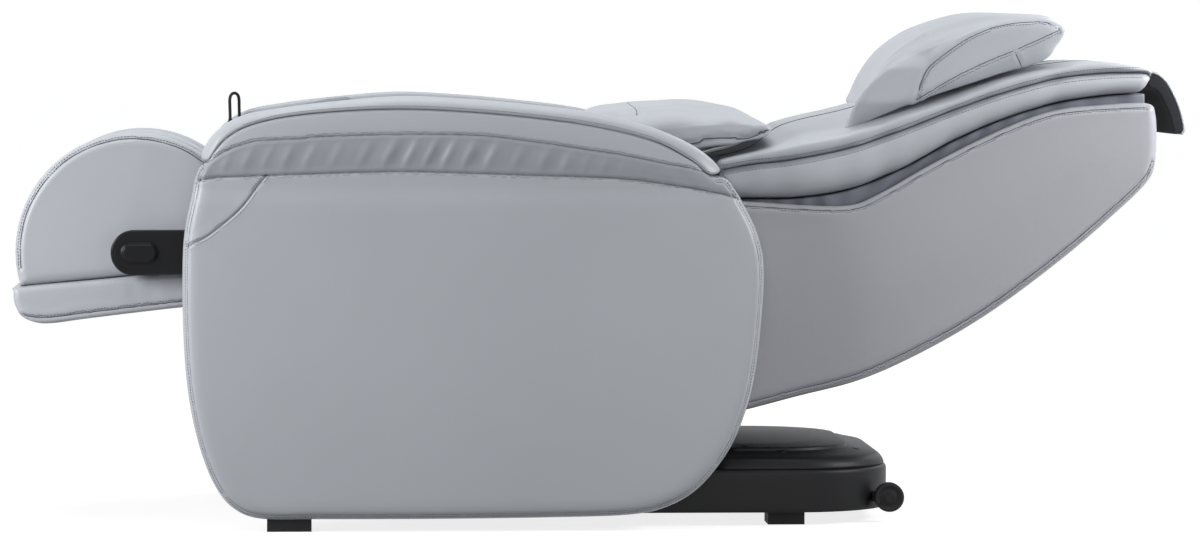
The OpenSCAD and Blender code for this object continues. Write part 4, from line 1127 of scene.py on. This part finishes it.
def make_back_pad():
    """Thick mattress pad: upper and lower rolls round a recessed zipped gusset."""
    steps = 150
    lines = [even(smooth_line(line, 10), 1.0) for line in (PAD_LOW, PAD_SEAM, PAD_RIM, PAD_CROWN)]
    h = PAD_HALF
    even_steps = np.linspace(0, 1, steps)
    u = 0.35 * (1 - np.cos(np.pi * even_steps)) / 2 + 0.65 * even_steps
    at = []
    for line in lines:
        s = np.linspace(0, 1, len(line))
        at.append(np.stack([np.interp(u, s, line[:, 0]), np.interp(u, s, line[:, 1])], 1))
    _, seam, _, crown = at
    half_ring = [(0, 0, 0), (h - 150, 0, 0), (h - 60, 0, 0), (h - 30, 0, 0.01), (h - 12, 0, 0.12),
                 (h - 3, 0, 0.3), (h, 0, 0.52), (h - 1, 0, 0.72), (h - 5, 0, 0.88),
                 (h - 11, 0, 0.96), (h - 13, 1, 0.0), (h - 12.5, 1, 0.12), (h - 8, 1, 0.2),
                 (h - 3, 1, 0.38), (h - 1.5, 1, 0.62), (h - 4, 1, 0.85), (h - 11, 1, 1.0),
                 (h - 24, 2, 0.08), (h - 50, 2, 0.3), (h - 90, 2, 0.6), (h - 150, 2, 0.86),
                 (h - 210, 2, 0.97), (0, 2, 1.0)]
    rows = []
    profile = np.array(half_ring, float)
    keys = profile[:, 1] + profile[:, 2]
    fine = smooth_line(np.stack([profile[:, 0], keys * 40], 1), 4)
    ring_y = np.concatenate([fine[:, 0], -fine[::-1][1:-1, 0]])
    ring_k = np.concatenate([fine[:, 1], fine[::-1][1:-1, 1]]) / 40
    n = len(ring_y)
    for k in range(steps):
        q = np.clip(ring_k, 0, 3)
        base = np.minimum(q.astype(int), 2)
        t = q - base
        stack = np.array([line[k] for line in at])
        xz = stack[base] * (1 - t)[:, None] + stack[base + 1] * t[:, None]
        # ends close in on the middle of the section
        e = min(u[k], 1 - u[k])
        pull = math.sqrt(max(0.0, 1 - (1 - min(1, e / 0.02)) ** 2))
        mid = stack[:3].mean(0)
        xz = mid + (xz - mid) * (0.25 + 0.75 * pull)
        y = ring_y * (0.965 + 0.035 * pull)
        rows.append(np.stack([xz[:, 0], y, xz[:, 1]], 1))
    points = np.concatenate(rows)
    faces = ring_faces(steps, n)
    faces.append(tuple(range(n)))
    faces.append(tuple((steps - 1) * n + i for i in reversed(range(n))))
    skin = Skin(points, faces)
    p = skin.points
    side = np.clip((np.abs(p[:, 1]) - (h - 40)) / 30, 0, 1)
    wave = np.sin(p[:, 0] / 17 + 2.1 * np.sin(p[:, 0] / 61.0)) + 0.5 * np.sin(p[:, 0] / 8.3)
    skin.push(0.9 * side * wave * np.exp(-((p[:, 0] - 480) / 330) ** 2))
    threads, seams = Bundle(), Bundle()
    gusset = seam[4:-4:4].tolist()
    for s in (-1, 1):
        at, _ = skin.lay([(x, z + 1.5) for x, z in gusset], (0, -s, 0), 5.0)
        seams.tube(at, 1.6, 6)
        for lift in (8.0, -7.0):
            near_line, nn = skin.lay([(x, z + lift) for x, z in gusset], (0, -s, 0), 5.0)
            threads.stitches(skin, near_line, nn)
    for y in (-95.0, 95.0):
        along = np.stack([crown[6:-6, 0], np.full(steps - 12, y), crown[6:-6, 1]], 1)
        at, _ = skin.lay_near(along)
        sew(skin, at, (5.0, 3.0, 1.5), seams, SOFT_SEAM)
    make("back_pad_cover", skin, "leather", "backrest", "back_pad")
    make("back_pad_stitching", threads.skin(), "thread", "backrest")
    make("back_pad_seams", seams.skin(), "seam", "backrest")


def two_form(mid, end, half, draws, spacing, bulge, stations=43, far_end=None):
    """Cushion whose side view changes from a middle outline to one at each end."""
    a = smooth_line(mid, 12, closed=True)
    near = smooth_line(end, 12, closed=True)
    far = smooth_line(far_end or end, 12, closed=True)
    if ccw(a) is not a:
        a, near, far = a[::-1], near[::-1], far[::-1]
    ts = np.sin(np.linspace(-math.pi / 2, math.pi / 2, stations))
    keys = [0, 0.35, 0.66, 0.85, 0.94, 0.985, 1]
    form = [0, 0.03, 0.14, 0.35, 0.6, 0.86, 1]
    sections = []
    for t in ts:
        f = np.interp(abs(t), keys, form)
        d = np.interp(abs(t), keys, draws)
        ring = a * (1 - f) + (near if t < 0 else far) * f
        sections.append((half * t, inset(ring, d)))

    def height(flat, d):
        return bulge * np.sqrt(np.clip(d / 14.0, 0, 1))
    return capped_loft(sections, spacing, 6.0, 6.0, height, height)


PILLOW_UPPER = [(486, 648), (491, 673), (502, 697), (522, 715), (558, 740), (593, 757), (630, 766),
                (659, 769), (681, 769), (704, 761)]
PILLOW_LOWER = [(482, 646), (499, 657), (542, 683), (592, 707), (629, 722), (665, 738), (704, 756)]
PILLOW_SHORT = [(638, 719), (645, 706), (651, 696)]
PILLOW_FOLD = [(432, 664), (450, 690), (474, 715), (506, 738)]


def make_pillow():
    """Head pillow: crowned body, a bowed panel in each end and a shaded band under it."""
    skin = two_form(PILLOW_MID, PILLOW_END, PILLOW_HALF, [0, 0, 0, 0, 0, 0.6, 1.5], 5.0, 7.0,
                    far_end=PILLOW_FAR_END)
    p = skin.points
    lower = smooth_line(PILLOW_LOWER, 6)
    upper = smooth_line(PILLOW_UPPER[2:], 6)
    ends = np.clip((np.abs(p[:, 1]) - 175) / 42, 0, 1) ** 1.5
    below = np.clip((np.interp(p[:, 0], lower[:, 0], lower[:, 1]) - p[:, 2]) / 34, 0, 1)
    above = np.clip((p[:, 2] - np.interp(p[:, 0], upper[:, 0], upper[:, 1])) / 20, 0, 1)
    p[:, 1] -= np.sign(p[:, 1]) * ends * (15.0 * below + 9.0 * above)
    # soft dimples of the filling
    skin.push(1.4 * np.sin(p[:, 0] / 37 + 1) * np.sin(p[:, 1] / 53 + 0.4)
              * np.sin(p[:, 2] / 29 + 2))
    threads, seams = Bundle(), Bundle()
    for s in (-1, 1):
        for line, width, depth, beside in ((PILLOW_UPPER, 2.4, 1.8, (4.2 * s,)),
                                           (PILLOW_LOWER, 2.4, 1.8, (4.2 * s,)),
                                           (PILLOW_SHORT, 2.0, 1.2, ())):
            at, _ = skin.lay(line, (0, -s, 0))
            sew(skin, at, (width, depth, 1.0), seams, PILLOW_THREAD, threads, beside)
        fold = [(x, s * 186.0, z) for x, z in smooth_line(PILLOW_FOLD, 6)]
        skin.crease(skin.lay_near(fold)[0], 9.0, 3.0, 1.5)
    make("head_pillow_cover", skin, "leather", "backrest", "head_pillow")
    make("head_pillow_seams", seams.skin(), "seam", "backrest")
    make("head_pillow_stitching", threads.skin(), "thread", "backrest")


def make_lumbar():
    """Loose cushion between seat and back, slacker than the pillow, with one cross seam."""
    skin = two_form(LUMBAR_MID, LUMBAR_END, LUMBAR_HALF, [0, 0, 0, 0, 0, 0.6, 1.5], 6.0, 3.0)
    p = skin.points
    # puckers that run in from the side seam
    reach = np.clip((np.abs(p[:, 1]) - 170) / 75, 0, 1)
    wave = np.sin(p[:, 0] / 11 + 1.2 * np.sin(p[:, 0] / 39.0) + p[:, 1] / 90)
    skin.push(2.6 * wave * reach * np.sin(np.pi * np.clip(reach, 0, 1)) ** 0.5)
    p = skin.points
    skin.push(1.8 * np.sin(p[:, 0] / 41 + 0.7) * np.sin(p[:, 1] / 47))
    seams = Bundle()
    for s in (-1, 1):
        at, _ = skin.lay(LUMBAR_SEAM, (0, -s, 0))
        sew(skin, at, (3.2, 3.4, 1.8), seams, (0.0, 1.0))
    across = [(58.0, y, 640.0) for y in np.linspace(-225, 225, 90)]
    at, _ = skin.lay_near(across)
    sew(skin, at, (2.0, 1.3, 0.6), seams, (0.1, 0.6))
    make("lumbar_cushion_cover", skin, "leather", "lumbar", "lumbar_cushion")
    make("lumbar_seams", seams.skin(), "seam", "lumbar")


def make_flap():
    """Flap over the head end: felt body with a thin leather skin on its outer side."""
    outer = smooth_line(FLAP_OUTER, 6)
    turn = unit(np.gradient(outer, axis=0))
    skin_inner = outer + 3.4 * np.stack([turn[:, 1], -turn[:, 0]], 1)
    inner = smooth_line(FLAP_INNER, 6)
    core = ccw(even(np.vstack([skin_inner, inner]), 3.0, closed=True))
    felt = plate(core, -149, 149, 2.5, 2.5, 4.0, 30)
    ripple = 0.5 * np.sin(felt.points[:, 1] / 31 + 0.5) * np.sin(felt.points[:, 2] / 27)
    felt.push(ripple)
    make("head_flap", felt, "felt", "backrest", "back_flap")
    band = ccw(even(np.vstack([outer, skin_inner[::-1]]), 1.7, closed=True))
    skin = plate(band, -150, 150, 0.8, 0.8, 2.0, 30)
    make("head_flap_skin", skin, "leather", "backrest")


make_shell()
make_deck()
make_back_pad()
make_pillow()
make_lumbar()
make_flap()


# ------------------------------------------------------------------ seat

def make_seat():
    """Seat cushion in three sewn fields, its nose drawn back between the ottoman's arms."""
    base = ccw(smooth_line(SEAT_SIDE, 12, closed=True))
    ys = np.linspace(-SEAT_HALF + 9, SEAT_HALF - 9, 60)
    sections = []
    for y in ys:
        t = abs(y) / SEAT_HALF
        ring = base.copy()
        top = np.clip((ring[:, 1] - 455) / 20, 0, 1)
        ring[:, 1] += top * (3.0 * (1 - t * t) - 1.0)
        nose = np.clip((-380 - ring[:, 0]) / 80, 0, 1)
        ring[:, 0] += nose * np.interp(abs(y), [0, 232, 246, 276], [-14, -14, 12, 14])
        sections.append((y, ring))
    skin = capped_loft(sections, 9.0, 12.0, 12.0, dome(9.0, 12.0), dome(9.0, 12.0))
    threads, seams = Bundle(), Bundle()
    for y in (-120.0, 120.0):
        xs = np.linspace(-462, -50, 80)
        along = np.stack([xs, np.full(80, y), np.full(80, 486.0)], 1)
        at, _ = skin.lay_near(along)
        sew(skin, at, (5.0, 4.0, 1.8), seams, SOFT_SEAM, threads, (4.5, -4.5))
    make("seat_cushion_cover", skin, "leather", "root", "seat_cushion")
    make("seat_seams", seams.skin(), "seam", "root")
    make("seat_stitching", threads.skin(), "thread", "root")


make_seat()


# ------------------------------------------------------------------ base and wheels

def base_ring(x0, x1, h, rf, rb, n=14):
    """Plan outline of the base with corner radii rf at the foot end and rb at the head end."""
    a = np.linspace(0, math.pi / 2, n)
    return np.array([(x0 + rf - rf * math.sin(t), h - rf + rf * math.cos(t)) for t in a]
                    + [(x0 + rf - rf * math.cos(t), -h + rf - rf * math.sin(t)) for t in a]
                    + [(x1 - rb + rb * math.sin(t), -h + rb - rb * math.cos(t)) for t in a]
                    + [(x1 - rb + rb * math.cos(t), h - rb + rb * math.sin(t)) for t in a])


def stacked(rings, closed=False):
    """Horizontal rings [z, ring] skinned one over another, with flat ends or round to the first."""
    n = len(rings[0][1])
    points = np.concatenate([np.stack([r[:, 0], r[:, 1], np.full(n, z)], 1) for z, r in rings])
    faces = flipped(ring_faces(len(rings), n, closed))
    if closed:
        return Skin(points, faces)
    faces.append(tuple(reversed(range(n))))
    faces.append(tuple((len(rings) - 1) * n + i for i in range(n)))
    return Skin(points, faces)


def cut_out(obj, boxes):
    """Cuts boxes out of a closed piece of the builder's own."""
    cutters = []
    for low, high in boxes:
        ends = (np.array((low, high)) + SHIFT) * MM
        corners = [(ends[a][0], ends[b][1], ends[c][2]) for a in (0, 1) for b in (0, 1)
                   for c in (0, 1)]
        mesh = bpy.data.meshes.new("cutter")
        mesh.from_pydata(corners, [], [(0, 1, 3, 2), (4, 6, 7, 5), (0, 4, 5, 1), (2, 3, 7, 6),
                                       (0, 2, 6, 4), (1, 5, 7, 3)])
        cutter = link(bpy.data.objects.new("cutter", mesh))
        cutters.append(cutter)
        cut = obj.modifiers.new("cut", "BOOLEAN")
        cut.operation = "DIFFERENCE"
        cut.solver = "EXACT"
        cut.object = cutter
    bpy.context.view_layer.update()
    graph = bpy.context.evaluated_depsgraph_get()
    mesh = bpy.data.meshes.new_from_object(obj.evaluated_get(graph))
    obj.modifiers.clear()
    obj.data = mesh
    mesh.set_sharp_from_angle(angle=math.radians(35))
    for cutter in cutters:
        bpy.data.objects.remove(cutter)


def make_base():
    """Two-tier base cover, open underneath, with its screws."""
    def skirt(d):
        return base_ring(BASE_FRONT + d, BASE_REAR - d, BASE_HALF - d, 30, BASE_CORNER)
    rings = [(83, skirt(16)), (82.4, skirt(5)), (60, skirt(BASE_WALL)), (26, skirt(BASE_WALL)),
             (22, skirt(3.4)),
             (20, skirt(2.6)), (20, skirt(1.5)), (22, skirt(0.3)), (26, skirt(0))]
    rings += [(z, skirt(0)) for z in (40, 60, 77)]
    rings += [(SKIRT_TOP - 7 * (1 - math.sin(t)), skirt(7 * (1 - math.cos(t))))
              for t in np.linspace(0, math.pi / 2, 7)[1:]]
    rings += [(SKIRT_TOP + 0.3, skirt(12)), (SKIRT_TOP + 0.2, skirt(16))]
    lower = make("base_lower_cover", stacked(rings, closed=True), "plastic", "root",
                 "base_skirt")
    cut_out(lower, BASE_OPENINGS)

    def cover(d):
        return base_ring(COVER_FRONT + d * 0.3, BASE_REAR - d, BASE_HALF - d * 0.85, 30,
                         max(30, BASE_CORNER - d * 0.4))
    heights = [(-0.4, 4.4), (2, 3.6), (8, 6), (13, 10), (16, 14), (18.5, 24), (20.6, 36), (23.2, 48),
               (24.6, 55), (24.2, 57.6), (25.4, 58.4), (28.4, 59.6), (29.6, 63), (30.6, 74),
               (31.6, 90), (32.6, 104), (33, 116)]
    z, d = smooth_line(heights, 5).T
    inner = [(29, cover(112)), (26, cover(78)), (20, cover(60)), (15, cover(40)), (8, cover(14)),
             (-0.4, cover(8.4))]
    skin = stacked([(SKIRT_TOP + a, ring) for a, ring in inner]
                   + [(SKIRT_TOP + a, cover(b)) for a, b in zip(z, d)])
    make("base_upper_cover", skin, "plastic", "root", "base_cover")
    tree = skin.tree()
    screws = Bundle()
    for x, y in SCREW_PLACES:
        for side in (-1, 1):
            at, n, _, _ = tree.ray_cast(Vector((x, side * y, 300)), Vector((0, 0, -1)))
            screws.add(*turned_disc(np.array(at), np.array(n), SCREW_PROFILE))
    make("base_screws", screws.skin(), "gloss", "root")


def turned_disc(at, n, profile, count=28):
    """Round form [radius, height] turned about a normal: (points, faces)."""
    u = np.cross(n, (0.3, 1, 0.1))
    u /= np.linalg.norm(u)
    v = np.cross(n, u)
    turns = np.linspace(0, 2 * math.pi, count, endpoint=False)
    points = [at + r * (u * math.cos(a) + v * math.sin(a)) + h * n for r, h in profile for a in turns]
    m = len(profile)
    faces = flipped(ring_faces(m, count))
    faces.append(tuple(reversed(range(count))))
    faces.append(tuple((m - 1) * count + i for i in range(count)))
    return points, faces


def make_wheels():
    """Transport wheels turned from one profile [radius, across]."""
    profile = [(WHEEL_R - 1.5, -9), (WHEEL_R, -7.5), (WHEEL_R, 7.5), (WHEEL_R - 1.5, 9),
               (17, 9), (16, 7), (11, 7), (10, 9), (5, 9.5), (5, -9.5), (10, -9), (11, -7),
               (16, -7), (17, -9)]
    n, m = 56, len(profile)
    for side, prefix in ((-1, "left"), (1, "right")):
        points = [(WHEEL_AT[0] + r * math.cos(2 * math.pi * k / n), side * WHEEL_Y + y,
                   WHEEL_AT[1] + r * math.sin(2 * math.pi * k / n))
                  for k in range(n) for r, y in profile]
        faces = flipped(ring_faces(n, m, closed=True))
        make(f"{prefix}_wheel_tyre", Skin(points, faces), "rubber",
             f"{prefix}_transport_wheel", f"{prefix}_wheel")


def make_cradle():
    """Handset holder on the inner face of the right arm: covered back, ledge, lip and stop."""
    back = ccw(even(np.array(CRADLE, float), 4.0, closed=True))
    pieces = Bundle()
    bars = ((back, 278, 282, 1.8, 0.3), (bar_ring(*CRADLE_BAR, CRADLE_LEDGE, 547), 258, 278, 1.5, 0.3),
            (bar_ring(*CRADLE_BAR, CRADLE_LEDGE, 557), 257, 260, 1.2, 0.3),
            (bar_ring(CRADLE_BAR[1] - 3, CRADLE_BAR[1], CRADLE_LEDGE, 578), 258, 278, 1.2, 0.3))
    for ring, y0, y1, roll0, roll1 in bars:
        pieces.add(*plate(ring, y0, y1, roll0, roll1, 6.0, 3).shape())
    node = "handset_cradle"
    # the holder takes the darker, bluer copy of the leather: painted shade
    make("handset_cradle_cover", pieces.skin(), "cradle", "root", node)


def bar_ring(x0, x1, z0, z1, spacing=3.0):
    corners = np.array([(x0, z0), (x1, z0), (x1, z1), (x0, z1)], float)
    return ccw(even(corners, spacing, closed=True))


make_base()
make_wheels()
make_cradle()


# ------------------------------------------------------------------ finishes of the carried solids

SLOT_LOOK = {"steel": "steel", "board": "board", "leather": "leather", "shell_leather": "shell",
             "felt": "felt", "rubber": "rubber", "plastic": "plastic", "motor": "motor",
             "button_red": "red", "button_grey": "grey"}
BRIGHT = ("lift_shaft", "kneading_shaft", "recline_rod", "back_hinge_pins", "ottoman_pins",
          "arm_bolts")


def finish_nodes():
    """Gives every carried solid the look of its material slot."""
    for name, obj in frame["nodes"].items():
        look = SLOT_LOOK[NODE_SLOT[name]]
        if name in BRIGHT:
            look = "bright"
        if name == "wheel_brackets":
            look = "gloss"
        obj.data.materials.clear()
        obj.data.materials.append(LOOK[look])


finish_nodes()


# ------------------------------------------------------------------ floor and light

def background_rays(tree):
    """One for the rays that should see plain white paper: camera, glossy and transmission."""
    ray = tree.nodes.new("ShaderNodeLightPath")
    total = ray.outputs["Is Camera Ray"]
    for name in ("Is Glossy Ray", "Is Transmission Ray"):
        join = tree.nodes.new("ShaderNodeMath")
        join.operation = "MAXIMUM"
        tree.links.new(total, join.inputs[0])
        tree.links.new(ray.outputs[name], join.inputs[1])
        total = join.outputs[0]
    return total


def make_stage():
    """White paper floor that runs into a white background and keeps a soft shadow."""
    mesh = bpy.data.meshes.new("floor")
    mesh.from_pydata([(-30, -12, 0), (30, -12, 0), (30, 60, 0), (-30, 60, 0)], [], [(0, 1, 2, 3)])
    floor = bpy.data.objects.new("floor", mesh)
    material = bpy.data.materials.new("floor_paper")
    tree, nodes, links, shader = nodes_of(material)
    shader.inputs["Base Color"].default_value = (FLOOR_TONE, FLOOR_TONE, FLOOR_TONE, 1)
    shader.inputs["Roughness"].default_value = 0.9
    shader.inputs["Specular IOR Level"].default_value = 0.0
    shader.inputs["Emission Color"].default_value = (1, 1, 1, 1)
    place = nodes.new("ShaderNodeTexCoord")
    away = nodes.new("ShaderNodeVectorMath")
    away.operation = "LENGTH"
    links.new(place.outputs["Object"], away.inputs[0])
    fade = nodes.new("ShaderNodeMapRange")
    fade.inputs["From Min"].default_value = 1.0
    fade.inputs["From Max"].default_value = 2.6
    fade.inputs["To Min"].default_value = FLOOR_GLOW_NEAR
    fade.inputs["To Max"].default_value = FLOOR_GLOW_FAR
    links.new(away.outputs["Value"], fade.inputs["Value"])
    glow = nodes.new("ShaderNodeMath")
    glow.operation = "MULTIPLY"
    links.new(background_rays(tree), glow.inputs[0])
    links.new(fade.outputs["Result"], glow.inputs[1])
    links.new(glow.outputs[0], shader.inputs["Emission Strength"])
    mesh.materials.append(material)
    link(floor)
    world = bpy.data.worlds.new("studio")
    bpy.context.scene.world = world
    world.use_nodes = True
    tree = world.node_tree
    back = tree.nodes["Background"]
    back.inputs["Color"].default_value = (*WORLD_TINT, 1)
    strength = tree.nodes.new("ShaderNodeMapRange")
    strength.inputs["To Min"].default_value = WORLD_LIGHT
    strength.inputs["To Max"].default_value = WORLD_SEEN
    tree.links.new(background_rays(tree), strength.inputs["Value"])
    tree.links.new(strength.outputs["Result"], back.inputs["Strength"])


def soft_box(name, at, target, size, power, tint):
    light = bpy.data.lights.new(name, "AREA")
    light.shape = "RECTANGLE"
    light.size, light.size_y = size
    light.energy = power
    light.color = tint
    obj = bpy.data.objects.new(name, light)
    obj.location = at
    aim = Vector(target) - Vector(at)
    obj.rotation_euler = aim.to_track_quat("-Z", "Y").to_euler()
    obj.visible_camera = False
    link(obj)


make_stage()
for lamp, facts in LAMPS.items():
    soft_box(lamp, *facts)

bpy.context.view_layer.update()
